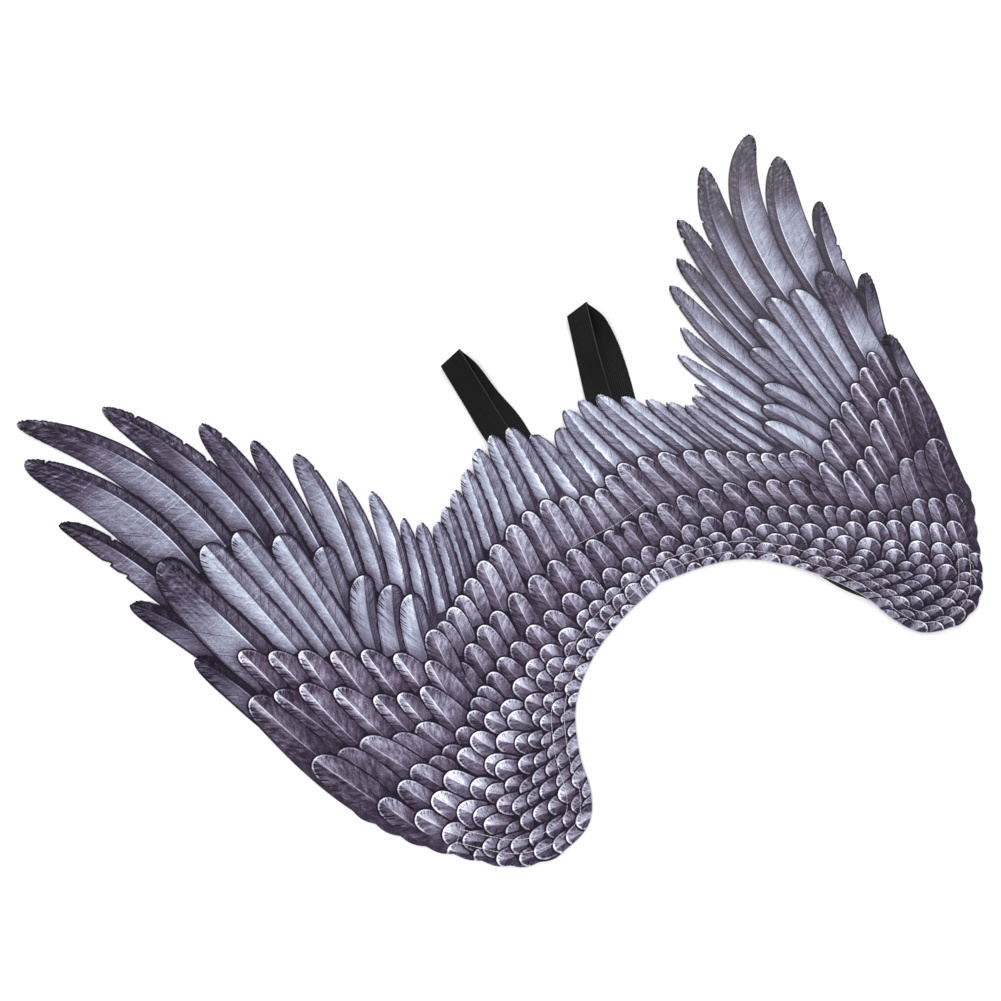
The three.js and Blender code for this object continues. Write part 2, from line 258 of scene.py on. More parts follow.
def make_feather(root, mid, tip, widths, blunts, sort, **marks):
    """A feather with inner and outer vanes. Its marks may be a tone, a detail, notches and a shift."""
    root, mid, tip = (np.array(p, float) for p in (root, mid, tip))
    feather = {
        "root": root, "mid": mid, "tip": tip, "sort": sort,
        "length": np.linalg.norm(mid - root) + np.linalg.norm(tip - mid),
        "inner": widths[0], "outer": widths[1], "inner_blunt": blunts[0], "outer_blunt": blunts[1],
        "tone": 0.0, "detail": 0.0, "notches": (), "shift": 0.0, **marks,
    }
    feather["outline"] = outline(feather)
    return feather


def edge_feather(number, f):
    """A feather of the cut edge, with its notches and the shift of its printed shaft."""
    return make_feather(
        (f["root_x"], f["root_y"]), (f["mid_x"], f["mid_y"]), (f["tip_x"], f["tip_y"]),
        (f["inner"], f["outer"]), (f["inner_blunt"], f["outer_blunt"]), LONG,
        notches=[notch for notch in NOTCHES if notch["feather"] == number],
        shift=SHAFT_SHIFT.get(number, 0.0),
    )


edge_row = [edge_feather(number, f) for number, f in enumerate(EDGE_FEATHERS)]
print("longest edge feather, mm:", round(max(feather["length"] for feather in edge_row)))

# %% [markdown]
# ## The neck edge
# From the seam the cut runs along the hollow of the neck and round the wrist of the wing, where it is
# scalloped round the last scales. A centripetal spline through a few points follows it without
# overshooting, and a table of distances along it lets everything sewn there be measured by share.

# %% Neck edge
NECK_EDGE = table(
    "x y",
    (0, -244), (50, -257.5), (100, -280), (140, -314), (163, -358), (173, -393), (190, -416),
    (225, -425.5), (262, -417), (300, -386), (331, -354), (366, -300), (389, -245), (408, -180), (416, -150),
)
SCALLOPS = {"from": 0.46, "to": 0.76, "count": 8, "depth": 2.2}
BODY_JOIN = 0.42
NECK_STEPS = 216
NECK_SAMPLES = 2001
EDGE_PROBE = 0.5


def spline(points, shares):
    """A centripetal Catmull-Rom curve through points, at shares of its parameter."""
    points = np.asarray(points, float)
    padded = np.vstack([2 * points[0] - points[1], points, 2 * points[-1] - points[-2]])
    at = np.clip(np.asarray(shares, float), 0, 1) * (len(points) - 1)
    start = np.minimum(at.astype(int), len(points) - 2)
    p0, p1, p2, p3 = (padded[start + k] for k in range(4))
    steps = ((p0, p1), (p1, p2), (p2, p3))
    d0, d1, d2 = (np.linalg.norm(b - a, axis=1)[:, None] ** 0.5 for a, b in steps)
    m1 = ((p1 - p0) / d0 - (p2 - p0) / (d0 + d1) + (p2 - p1) / d1) * d1
    m2 = ((p2 - p1) / d1 - (p3 - p1) / (d1 + d2) + (p3 - p2) / d2) * d1
    w = (at - start)[:, None]
    return p1 + m1 * w + (3 * (p2 - p1) - 2 * m1 - m2) * w ** 2 + (2 * (p1 - p2) + m1 + m2) * w ** 3


neck_points = [(p["x"], p["y"]) for p in NECK_EDGE]
neck_fine = spline(neck_points, np.linspace(0, 1, NECK_SAMPLES))
neck_run = np.concatenate([[0], np.cumsum(np.linalg.norm(np.diff(neck_fine, axis=0), axis=1))])
NECK_LENGTH = neck_run[-1]


def inset_points(shares, inset):
    """Points beside the neck edge, inset into the cloth, at shares of the edge's length."""
    run = np.asarray(shares, float) * NECK_LENGTH

    def on_edge(at):
        return np.stack([np.interp(at, neck_run, neck_fine[:, k]) for k in (0, 1)], 1)

    point, ahead, behind = on_edge(run), on_edge(run + EDGE_PROBE), on_edge(run - EDGE_PROBE)
    along = (ahead - behind) / np.linalg.norm(ahead - behind, axis=1)[:, None]
    across = np.stack([-along[:, 1], along[:, 0]], 1)
    return point + across * np.broadcast_to(np.asarray(inset, float), run.shape)[:, None]


def body_outline():
    """The body of a wing: the cut edge, then back to the seam along the feet of the edge feathers."""
    shares = np.linspace(0, 1, NECK_STEPS + 1)
    run = (shares - SCALLOPS["from"]) / (SCALLOPS["to"] - SCALLOPS["from"])
    bump = SCALLOPS["depth"] * np.abs(np.sin(np.pi * SCALLOPS["count"] * run)) * ((run > 0) & (run < 1))
    feet = np.vstack([shaft_points(f, [BODY_JOIN])[0] for f in edge_row])
    return np.vstack([inset_points(shares, -bump), feet, [[SEAM_GAP / 2, feet[-1, 1]]]])


body = body_outline()
body[0, 0] = SEAM_GAP / 2
print("neck edge, mm:", round(NECK_LENGTH), "body outline points:", len(body))

# %% [markdown]
# ## Which way the feathers point
# The printed feathers stand upright by the seam, lean in a little in the middle of the wing and out near
# its leading edge, and turn level round the wrist. A table gives the angle at places on the wing, and any
# place between them takes a mean in which near rows of the table count most.

# %% Flow of the feathers
FLOW = table(
    "x y angle",
    (421, 28, 73), (341, 24, 81), (300, 0, 88), (271, -36, 97), (240, -95, 109), (215, -130, 106),
    (391, -106, 76), (340, -135, 81), (287, -164, 86), (238, -204, 89), (215, -185, 98), (160, -150, 103),
    (100, -115, 103), (40, -105, 95), (400, -157, 72), (350, -170, 74), (298, -213, 76), (255, -225, 78),
    (200, -235, 94), (140, -200, 98), (80, -175, 97), (20, -170, 91), (376, -241, 60), (330, -250, 65),
    (277, -258, 72), (338, -306, 70), (300, -300, 67), (240, -290, 68), (190, -282, 70), (120, -255, 82),
    (50, -230, 86), (318, -334, 58), (298, -326, 60), (264, -332, 52), (245, -322, 50), (205, -298, 54),
    (165, -296, 50), (206, -314, 40), (234, -332, 45), (283, -345, 60), (304, -358, 45), (250, -350, 32),
    (218, -334, 36), (165, -312, 14), (190, -330, 12), (165, -336, -4), (203, -346, 8), (227, -361, 4),
    (199, -358, 2), (174, -362, -16), (243, -373, 6), (272, -366, 28), (212, -372, 6), (185, -388, -10),
    (225, -388, 6), (258, -386, 20), (288, -380, 28), (224, -405, 6), (268, -400, 12), (190, -408, -8),
    (233, -419, 0), (66, -254, 36), (105, -275, 28), (124, -288, 10), (143, -297, 14), (146, -282, 52),
)
FLOW_REACH = 12.0


def flow_angle(point):
    """Which way a printed feather points, in radians, from the nearest rows of the flow table."""
    spots = np.array([(f["x"], f["y"]) for f in FLOW], float)
    angles = np.radians([f["angle"] for f in FLOW])
    weight = 1 / (np.sum((spots - point) ** 2, axis=1) + FLOW_REACH ** 2) ** 2
    return math.atan2(weight @ np.sin(angles), weight @ np.cos(angles))


print("angles in the flow table:", len(FLOW))

# %% [markdown]
# ## Rows of printed feathers
# Like a bird's wing, the print has rows of shorter and shorter feathers towards the neck, each row
# lying over the next one out. A row is a line of tips through a few guide points, and a share of the
# line says which of them lies on top: the one by the seam in the outer rows, where it is 0.

# %% Rows of feathers
ROWS = table(
    "count inner outer length tip fan tone sort top guide",
    (11, 12, 12.5, 95, 5.5, 0.5, 0.1, COVERT, 1,
     ((9, -117), (47, -101), (94, -110), (140, -131), (177, -156), (206, -172))),
    (4, 11, 17, 150, 9, 0.12, 0.04, LONG, 0, ((218, -129), (231, -112), (250, -87), (271, -36))),
    (3, 13, 20, 205, 9.5, 0.12, 0.05, LONG, 1, ((304, -1), (341, 24), (376, 25))),
    (1, 14, 29, 215, 11, 0.85, 0.04, LONG, 1, ((421, 28),)),
    (10, 12.5, 13, 75, 6.5, 0.5, 0, COVERT, 1, ((10, -165), (78, -169), (155, -187), (214, -219))),
    (1, 12, 12, 60, 7, 0.4, 0, COVERT, 1, ((221, -177),)),
    (7, 19, 7.5, 95, 6, 0.2, 0, COVERT, 0, ((238, -204), (287, -164), (340, -135), (391, -106))),
    (7, 13, 13, 60, 7.5, 0.6, 0, COVERT, 1, ((12, -204), (62, -206), (111, -214), (157, -228))),
    (4, 11, 11, 60, 6.5, 0.5, 0, COVERT, 1, ((177, -235), (222, -261))),
    (1, 15, 14, 110, 9, 0.2, 0, COVERT, 0, ((400, -157),)),
    (6, 19.5, 7.5, 110, 6, 0.2, 0, COVERT, 0,
     ((255, -225), (277, -221), (298, -213), (328, -188), (356, -167), (377, -162))),
    (9, 12.5, 12.5, 45, 11.5, 0.9, 0.03, SCALE, 1,
     ((24, -219), (66, -228), (110, -240), (157, -255), (198, -277))),
    (1, 8.5, 8.5, 45, 7, 0.6, 0, COVERT, 1, ((231, -271),)),
    (5, 15, 13, 90, 9, 0.5, 0.02, COVERT, 1,
     ((277, -258), (302, -257), (330, -247), (351, -246), (376, -241))),
    (6, 11, 11, 55, 8.5, 0.6, 0, COVERT, 1,
     ((248, -280), (267, -290), (282, -295), (301, -291), (318, -299), (338, -306))),
    (9, 12.5, 12.5, 42, 11, 0.9, -0.04, SCALE, 1,
     ((7, -228), (43, -233), (87, -247), (138, -263), (177, -284))),
    (6, 11.5, 11.5, 50, 10, 0.8, 0.05, SCALE, 1,
     ((218, -282), (238, -291), (258, -300), (279, -313), (298, -326), (318, -334))),
    (6, 12.5, 12.5, 45, 11, 0.9, 0.06, SCALE, 1, ((200, -293), (304, -358))),
    (9, 11.5, 11.5, 40, 10, 0.9, -0.03, SCALE, 1,
     ((106, -259), (146, -282), (182, -304), (234, -331), (275, -360))),
    (13, 10.5, 10.5, 32, 8, 0.9, -0.1, SCALE, 1,
     ((45, -247), (86, -263), (124, -288), (161, -305), (198, -323), (236, -350), (270, -371))),
    (2, 10, 10, 30, 7, 0.9, -0.1, SCALE, 1, ((144, -309), (162, -322))),
    (3, 10, 10, 30, 7, 0.9, -0.1, SCALE, 1, ((162, -337), (190, -331))),
    (2, 10.5, 10.5, 32, 7.5, 0.9, -0.08, SCALE, 1, ((188, -344.5), (203, -344.5))),
    (5, 10.5, 10.5, 32, 7.5, 0.9, -0.1, SCALE, 1, ((172, -354), (199, -358), (227, -361))),
    (5, 10.5, 10.5, 32, 7.5, 0.9, -0.1, SCALE, 1, ((178, -371), (212, -372.5), (243, -373))),
    (2, 10.5, 10.5, 32, 8, 0.9, -0.15, SCALE, 1, ((293, -374), (310, -376))),
    (6, 10.5, 10.5, 32, 7.5, 0.9, -0.12, SCALE, 1, ((183, -381), (222, -388), (258, -386))),
    (8, 10, 10, 32, 7.5, 0.9, -0.14, SCALE, 1,
     ((181, -394), (206, -404), (236, -405), (262, -401), (282, -388))),
    (2, 9, 9, 26, 7, 0.9, -0.16, SCALE, 1, ((292, -391), (276, -405))),
    (6, 9.5, 9.5, 28, 7, 0.9, -0.16, SCALE, 1, ((188, -404), (209, -418), (235, -420), (260, -413))),
)
print("rows:", len(ROWS), "with", sum(row["count"] for row in ROWS), "feathers")

# %% [markdown]
# ## Laying the rows
# Each feather is laid back from its tip along the flow, and a fixed seed moves it a little, as a
# draughtsman's hand would. Near the leading edge the feathers are darker, and those of the cut edge are
# lighter by the seam and have darker ends further out. Round the wrist, rows of scales lie like shingles,
# the lowest and nearest to the seam on top.

# %% Lay the rows
SHINGLE = np.array([0.6, 1.0])
JITTER = {"place": 0.8, "angle": 2.5, "width": 0.05, "tone": 0.025}
DARK_EDGE = {"slant": 0.33, "from": 395, "to": 455, "tone": -0.11}
DARK_TIP = {"from": 190, "to": 440, "least": 0.25}
LIGHT_SEAM = {"from": 240, "to": 160, "tone": 0.1}
LEAST_BLUNT = 2.0
rng = np.random.default_rng(7)


def edge_tone(point):
    """Feathers near the leading edge of the wing are printed darker."""
    reach = point[0] - DARK_EDGE["slant"] * point[1]
    return DARK_EDGE["tone"] * float(smoothstep(reach, DARK_EDGE["from"], DARK_EDGE["to"]))


def lay_feather(tip, row):
    """A feather of a row whose tip is at a point and whose shaft follows the flow back from it."""
    tip = np.asarray(tip, float) + rng.normal(0, JITTER["place"], 2)
    half = row["length"] / 2
    angle = flow_angle(tip) + math.radians(rng.normal(0, JITTER["angle"]))
    mid = tip - half * np.array([math.cos(angle), math.sin(angle)])
    back = (angle + flow_angle(mid)) / 2
    root = mid - half * np.array([math.cos(back), math.sin(back)])
    grow = 1 + rng.normal(0, JITTER["width"])
    widths = [row[k] * grow for k in ("inner", "outer")]
    blunts = [max(LEAST_BLUNT, 2 * row["tip"] * row["length"] / width ** 2) for width in widths]
    tone = row["tone"] + edge_tone(tip) + rng.normal(0, JITTER["tone"])
    return make_feather(root, mid, tip, widths, blunts, row["sort"], tone=tone, detail=row["fan"])


def row_of(row):
    """The feathers of one row, from the lowest to the one at its top share."""
    guide = row["guide"]
    shares = np.linspace(0, 1, row["count"])
    tips = spline(guide, shares) if row["count"] > 1 else guide
    order = np.argsort(-np.abs(shares - row["top"]), kind="stable")
    return [lay_feather(tips[k], row) for k in order]


feathers = edge_row[::-1]
for feather in feathers:
    share = float(smoothstep(feather["tip"][0], DARK_TIP["from"], DARK_TIP["to"]))
    near_seam = float(smoothstep(-feather["tip"][0], -LIGHT_SEAM["from"], -LIGHT_SEAM["to"]))
    feather["tone"] = edge_tone(feather["mid"]) / 2 + LIGHT_SEAM["tone"] * near_seam
    feather["detail"] = DARK_TIP["least"] + (1 - DARK_TIP["least"]) * share
row_feathers = [feather for row in ROWS for feather in row_of(row)]
scales = [feather for feather in row_feathers if feather["sort"] == SCALE]
feathers += [feather for feather in row_feathers if feather["sort"] != SCALE]
feathers += sorted(scales, key=lambda scale: -scale["tip"] @ SHINGLE)
print("printed feathers on a wing:", len(feathers))

# %% [markdown]
# ## One flat print from many feathers
# The print is flat, so the feathers are not separate sheets. Their outlines are drawn into one mesh, where
# each corner stores its place on its feather, which is all that the finish needs to paint it. First come
# the lines: each outline keeps only the stretch that no higher feather hides, and all of the cut edge.

# %% Lines that show
BARE = -1


def inside(points, polygon):
    """Which points lie inside a polygon."""
    found = np.zeros(len(points), bool)
    low, high = polygon.min(0), polygon.max(0)
    near = np.where(np.all((points >= low) & (points <= high), axis=1))[0]
    if len(near) == 0:
        return found
    x, y = points[near].T
    odd = np.zeros(len(near), bool)
    for (ax, ay), (bx, by) in zip(polygon, np.roll(polygon, -1, axis=0)):
        if ay == by:
            continue
        odd ^= ((ay > y) != (by > y)) & (x < (bx - ax) * (y - ay) / (by - ay) + ax)
    found[near] = odd
    return found


def in_cut(points, skip=None):
    """Which points lie in the cut cloth, leaving out one edge feather or the body."""
    found = inside(points, body) if skip != "body" else np.zeros(len(points), bool)
    for number, feather in enumerate(edge_row):
        if number != skip:
            found |= inside(points, feather["outline"])
    return found


def kept_lines():
    """The stretches of outline that show, as pairs of points with the rank of their feather."""
    lines = []
    for rank, feather in enumerate(feathers):
        ring = feather["outline"]
        ends = np.roll(ring, -1, axis=0)
        middle = (ring + ends) / 2
        shows = np.ones(len(ring), bool)
        for higher in feathers[rank + 1:]:
            shows &= ~inside(middle, higher["outline"])
        if rank < len(edge_row):
            on_cut = ~in_cut(middle, len(edge_row) - 1 - rank)
            shows |= on_cut
        else:
            shows &= in_cut(middle)
        lines += [(a, b, rank) for a, b, show in zip(ring, ends, shows) if show]
    ring = body
    ends = np.roll(ring, -1, axis=0)
    shows = ~in_cut((ring + ends) / 2, "body")
    lines += [(a, b, BARE) for a, b, show in zip(ring, ends, shows) if show]
    return lines


lines = kept_lines()
print("pieces of line that show:", len(lines))

# %% [markdown]
# ## Triangles between the lines
# A constrained triangulation joins the lines with points down the seam and an even field of points, which
# keeps the triangles well shaped. Every triangle then belongs to the topmost feather over its middle.

# %% Triangulate the print
FIELD_STEP = 5.0
FIELD_CLEAR = 1.6
SEAM_STEP = 4.0
WELD = 0.02


def seam_line():
    """Points down the straight centre seam."""
    top, low = body[-1], body[0]
    count = int((top[1] - low[1]) / SEAM_STEP)
    return [low + (top - low) * k / count for k in range(count + 1)]


def field_points(lines):
    """An even field of points over the cloth that keeps clear of the drawn lines."""
    low = np.min([feather["outline"].min(0) for feather in feathers], axis=0)
    high = np.max([feather["outline"].max(0) for feather in feathers], axis=0)
    xs = np.arange(low[0], high[0], FIELD_STEP)
    ys = np.arange(low[1], high[1], FIELD_STEP * math.sqrt(0.75))
    grid = np.array([(x + (k % 2) * FIELD_STEP / 2, y) for k, y in enumerate(ys) for x in xs])
    grid = grid[in_cut(grid)]
    tree = KDTree(2 * len(lines))
    for k, (a, b, _) in enumerate(lines):
        tree.insert((*a, 0), 2 * k)
        tree.insert((*((a + b) / 2), 0), 2 * k + 1)
    tree.balance()
    return np.array([p for p in grid if tree.find((*p, 0))[2] > FIELD_CLEAR])


def triangulate(lines):
    """Points and triangles of the cut cloth that keep the drawn lines, and the triangles' middles."""
    points, edges = [], []
    for a, b, _ in lines:
        edges.append((len(points), len(points) + 1))
        points += [Vector(a), Vector(b)]
    seam = seam_line()
    edges += [(len(points) + k, len(points) + k + 1) for k in range(len(seam) - 1)]
    points += [Vector(p) for p in seam]
    points += [Vector(p) for p in field_points(lines)]
    flat, _, faces, *_ = delaunay_2d_cdt(points, edges, [], 0, WELD, False)
    flat = np.array([tuple(p) for p in flat])
    faces = np.array([f for f in faces if len(f) == 3])
    middle = flat[faces].mean(axis=1)
    keep = in_cut(middle) & (middle[:, 0] > SEAM_GAP / 2)
    return flat, faces[keep], middle[keep]


flat, faces, middle = triangulate(lines)
owner = np.full(len(faces), BARE)
for rank, feather in enumerate(feathers):
    owner[inside(middle, feather["outline"])] = rank
used = np.unique(faces)
renumber = np.full(len(flat), -1)
renumber[used] = np.arange(len(used))
flat, faces = flat[used], renumber[faces]
first_side, second_side = (flat[faces[:, k]] - flat[faces[:, 0]] for k in (1, 2))
area_mm2 = np.abs(np.cross(first_side, second_side)).sum() / 2
print("print mesh:", len(flat), "points,", len(faces), "triangles,", (owner == BARE).sum(), "bare,",
      round(area_mm2 / 1e6, 4), "square metres")

# %% [markdown]
# ## Where each corner lies on its feather
# A finish can follow a bowed feather only if it knows the way along and across it. For each corner the
# nearest point of the shaft gives the distance across it and the distance from the tip, and the nearest
# point of the outline gives the distance from the rim and the way along it.

# %% Places on a feather
SHAFT_STEPS = 60
SHIFT_POWER = 4
SHORTEST = 1e-9


def nearest_on(line, points):
    """The nearest part of a line of points: offset, segment, share of the segment and run to it."""
    start, step = line[:-1], np.diff(line, axis=0)
    size = np.maximum(np.linalg.norm(step, axis=1), SHORTEST)
    run = np.concatenate([[0], np.cumsum(size)])
    local = points[:, None] - start[None]
    share = np.clip(np.sum(local * step, axis=2) / size ** 2, 0, 1)
    off = local - share[..., None] * step
    best = np.argmin(np.sum(off ** 2, axis=2), axis=1)
    rows = np.arange(len(points))
    share, off = share[rows, best], off[rows, best]
    return off, best, share, run[best] + share * size[best], run[-1]


def feather_place(feather, points):
    """Distance across the shaft, distance from the tip, share of the vane's width and of the shaft."""
    shaft, _ = shaft_points(feather, np.linspace(0, 1, SHAFT_STEPS + 1))
    off, best, share, run, whole = nearest_on(shaft, points)
    step = np.diff(shaft, axis=0)[best]
    across = np.sign(step[:, 0] * off[:, 1] - step[:, 1] * off[:, 0]) * np.linalg.norm(off, axis=1)
    t_here = (best + share) / SHAFT_STEPS
    shift = feather["shift"] * (1 - t_here ** SHIFT_POWER)
    across = across - shift
    width = np.where(across > 0, feather["inner"] - shift, feather["outer"] + shift) * vane_growth(t_here)
    return across, whole - run, across / width, t_here


def rim_place(feather, points):
    """Distance from a feather's rim and the way along the rim."""
    off, _, _, run, _ = nearest_on(feather["outline"], points)
    return np.linalg.norm(off, axis=1), run


print("steps along a shaft:", SHAFT_STEPS)

# %% [markdown]
# ## Shade from the neighbours
# The higher outlines nearby give how deep a corner is tucked under its neighbours and how much of the light
# they take. Samples along the lines go into a tree that finds the near ones fast. With this, everything
# that a corner or a triangle stores is known.

# %% Feather coordinates
TUCK_REACH = 14.0
SHADE_FALL = 5.0
SHADE_FULL = 12.0
SAMPLE_STEP = 2.0


def line_tree(lines):
    """Visible outlines as samples, with the rank of their feather and the length each stands for."""
    spots, ranks, lengths = [], [], []
    for a, b, rank in lines:
        length = np.linalg.norm(b - a)
        count = max(1, int(length / SAMPLE_STEP))
        spots += [a + (b - a) * (k + 0.5) / count for k in range(count)]
        ranks += [rank] * count
        lengths += [length / count] * count
    tree = KDTree(len(spots))
    for k, spot in enumerate(spots):
        tree.insert((*spot, 0), k)
    tree.balance()
    return tree, ranks, lengths


def tuck_place(points, rank, samples):
    """Distance to the nearest higher outline, and the share of light that higher feathers take."""
    tree, ranks, lengths = samples
    depth, taken = np.full(len(points), TUCK_REACH), np.zeros(len(points))
    for k, point in enumerate(points):
        for _, number, distance in tree.find_range((*point, 0), TUCK_REACH):
            if ranks[number] > rank:
                depth[k] = min(depth[k], distance)
                taken[k] += lengths[number] * math.exp(-distance / SHADE_FALL)
    return depth, 1 - np.exp(-taken / SHADE_FULL)


samples = line_tree(lines)
corner_vane = np.zeros((len(faces), 3, 3), np.float32)
corner_plume = np.zeros((len(faces), 3, 3), np.float32)
corner_rim = np.zeros((len(faces), 3, 3), np.float32)
face_kind = np.zeros((len(faces), 3), np.float32)
face_sort = np.zeros(len(faces), np.float32)
seeds = rng.uniform(0, 1, len(feathers))
for rank, feather in enumerate(feathers):
    mine = np.where(owner == rank)[0]
    if len(mine) == 0:
        continue
    points, back = np.unique(faces[mine], return_inverse=True)
    back = back.reshape(-1, 3)
    across, from_tip, share, t_here = feather_place(feather, flat[points])
    edge, run = rim_place(feather, flat[points])
    depth, shade = tuck_place(flat[points], rank, samples)
    corner_vane[mine] = np.stack([across, from_tip, share], 1)[back]
    corner_plume[mine] = np.stack([t_here, shade, depth], 1)[back]
    corner_rim[mine] = np.stack([edge, run, np.zeros_like(edge)], 1)[back]
    face_kind[mine] = (seeds[rank], feather["detail"], feather["tone"])
    face_sort[mine] = feather["sort"]
print("feathers that show:", len(np.unique(owner)) - 1)

# %% [markdown]
# ## How the cloth lies
# Cloth that is laid down by hand does not lie exactly as it was cut. The right wing was pushed here and
# there, so a table of small steps moves its pattern points, each within its reach.

# %% Laid pattern
LAY = table(
    "x y step_x step_y reach",
    (95, -275, 0, 14, 75), (172, -375, 6, 3, 45), (372, -268, -12, 2, 70), (434, -92, -8, -4, 45),
    (380, 18, -2, -10, 50), (500, 270, 4, -2, 45), (415, -150, -5, 0, 35), (325, -355, -9, 2, 45),
    (323, 175, 1, 10, 45), (250, 85, 0, 9, 40), (200, 0, -6, -2, 40), (28, -5, 3, -9, 35),
)


def laid(points, side):
    """Pattern points where they lie on the floor, on one side of the seam."""
    points = np.asarray(points, float)
    place = points.copy()
    if side > 0:
        for push in LAY:
            away = np.linalg.norm(points - (push["x"], push["y"]), axis=1) / push["reach"]
            place += np.exp(-away ** 2)[:, None] * (push["step_x"], push["step_y"])
    return place * (side, 1)


print("small steps of the right wing:", len(LAY))

# %% [markdown]
# ## How high the cloth lies
# The cloth rests on the floor and on what is sewn behind it: it rises over the arm loops, the patch and
# the tape, ripples a little towards the wing tips, and its neck edge lifts at one place on the right. Along
# the seam it dips, and the free tips of the edge feathers curl up.

# %% Drape
CLOTH = 1.2
TAPE = {"width": 20, "thick": 1.0, "inset": 6, "end": 0.64, "slip": 7.5, "stations": 176}
RAISED = {"height": 4.6, "left": -75, "right": 122, "low": -212, "fade": 55, "low_fade": 30}
TAPE_RISE = {"height": 1.6, "flat": 24, "fade": 60}
RIPPLE = {"height": 0.9, "length": 240, "slant": 0.4, "start": 170, "full": 320}
LIFTED_EDGE = {"x": 163, "y": -337, "height": 3.2, "radius": 34}
TIP_CURL = {"height": 1.6, "from": 0.72}
SEAM_DIP = {"depth": 0.7, "width": 2.6}

tape_shares = np.linspace(0, TAPE["end"], TAPE["stations"] + 1)
tape_middle = inset_points(tape_shares, TAPE["inset"] + TAPE["width"] / 2)
tape_line = np.vstack([laid(tape_middle, side) for side in (-1, 1)])
tape_tree = KDTree(len(tape_line))
for k, spot in enumerate(tape_line):
    tape_tree.insert((*spot, 0), k)
tape_tree.balance()


def edge_lift(places):
    """From 0 to 1, how far the neck edge is lifted at places on the floor."""
    x, y = places.T
    away = np.hypot(x - LIFTED_EDGE["x"], y - LIFTED_EDGE["y"]) / LIFTED_EDGE["radius"]
    return np.exp(-away ** 2)


def drape(places):
    """Height of the underside of the cloth above the floor."""
    x, y = places.T
    raised = RAISED["height"] * smoothstep(x, RAISED["left"] - RAISED["fade"], RAISED["left"])
    raised = raised * (1 - smoothstep(x, RAISED["right"], RAISED["right"] + RAISED["fade"]))
    raised = raised * smoothstep(y, RAISED["low"] - RAISED["low_fade"], RAISED["low"])
    to_tape = np.array([tape_tree.find((*p, 0))[2] for p in places])
    fade = smoothstep(to_tape, TAPE_RISE["flat"], TAPE_RISE["flat"] + TAPE_RISE["fade"])
    over_tape = TAPE_RISE["height"] * (1 - fade)
    swing = np.sin(2 * np.pi * (x + RIPPLE["slant"] * y) / RIPPLE["length"])
    ripple = RIPPLE["height"] / 2 * (1 + swing) * smoothstep(np.abs(x), RIPPLE["start"], RIPPLE["full"])
    return np.maximum(raised, over_tape) + ripple + LIFTED_EDGE["height"] * edge_lift(places)


def tip_curl(points):
    """The free tips of the edge feathers lift a little."""
    lift = np.zeros(len(points))
    for feather in edge_row:
        held = inside(points, feather["outline"])
        if held.any():
            t_here = feather_place(feather, points[held])[3]
            lift[held] = np.maximum(lift[held], TIP_CURL["height"] * smoothstep(t_here, TIP_CURL["from"], 1))
    return lift


def cloth_height(points, side):
    """Places and heights of pattern points on the underside of a wing."""
    places = laid(points, side)
    dip = SEAM_DIP["depth"] * np.exp(-(points[:, 0] / SEAM_DIP["width"]) ** 2)
    return places, np.maximum(drape(places) - dip, 0)


curl = tip_curl(flat)
print("highest tip lift, mm:", round(curl.max(), 2))

# %% [markdown]
# ## Closed sheets
# Cloth, tape and elastic are all thin closed sheets: an upper face, a lower face and an edge between
# them. One function makes them all from the upper points, the lower points and the upper faces.

# %% Closed sheets
SHARP_ANGLE = math.radians(50)


def boundary_edges(polygons):
    """Directed edges that only one polygon has, with that polygon's number and the edge's first corner."""
    sides = polygons.shape[1]
    pairs = np.concatenate([polygons[:, [k, (k + 1) % sides]] for k in range(sides)]).tolist()
    known = {(a, b) for a, b in pairs}
    alone = np.array([k for k, (a, b) in enumerate(pairs) if (b, a) not in known])
    return np.array(pairs)[alone], alone % len(polygons), alone // len(polygons)


def set_attribute(mesh, name, kind, domain, values):
    """Store a number or a vector on each point, corner or face."""
    attribute = mesh.attributes.new(name, kind, domain)
    field = "vector" if kind == "FLOAT_VECTOR" else "value"
    attribute.data.foreach_set(field, np.ascontiguousarray(values, np.float32).ravel())


def closed_sheet(name, high, low, polygons, materials):
    """A closed sheet. Its materials are for the top, and for the underside and cut edge."""
    edges, owners, first = boundary_edges(polygons)
    count = len(high)
    rim = np.column_stack([edges[:, 0], edges[:, 0] + count, edges[:, 1] + count, edges[:, 1]])
    mesh = bpy.data.meshes.new(name)
    all_faces = polygons.tolist() + (polygons[:, ::-1] + count).tolist() + rim.tolist()
    mesh.from_pydata(to_part(np.vstack([high, low])).tolist(), [], all_faces)
    for material in materials:
        mesh.materials.append(material)
    under = len(materials) - 1
    slots = np.repeat([0, under, under], [len(polygons), len(polygons), len(rim)]).astype(np.int32)
    mesh.polygons.foreach_set("material_index", slots)
    mesh.shade_smooth()
    mesh.set_sharp_from_angle(angle=SHARP_ANGLE)
    piece = bpy.data.objects.new(name, mesh)
    bpy.context.scene.collection.objects.link(piece)
    print(name, "faces:", len(mesh.polygons))
    return piece, owners, first


def grid_faces(rows, columns):
    """Quads of a grid of points that runs row by row."""
    start = (np.arange(rows - 1)[:, None] * columns + np.arange(columns - 1)).ravel()
    return np.stack([start, start + 1, start + columns + 1, start + columns], 1)


# %% [markdown]
# ## Wing panels
# The top and the back of a wing share the triangles of the print, so the feather coordinates go to the
# corners of both, and the cut edge takes those of the feather it belongs to.

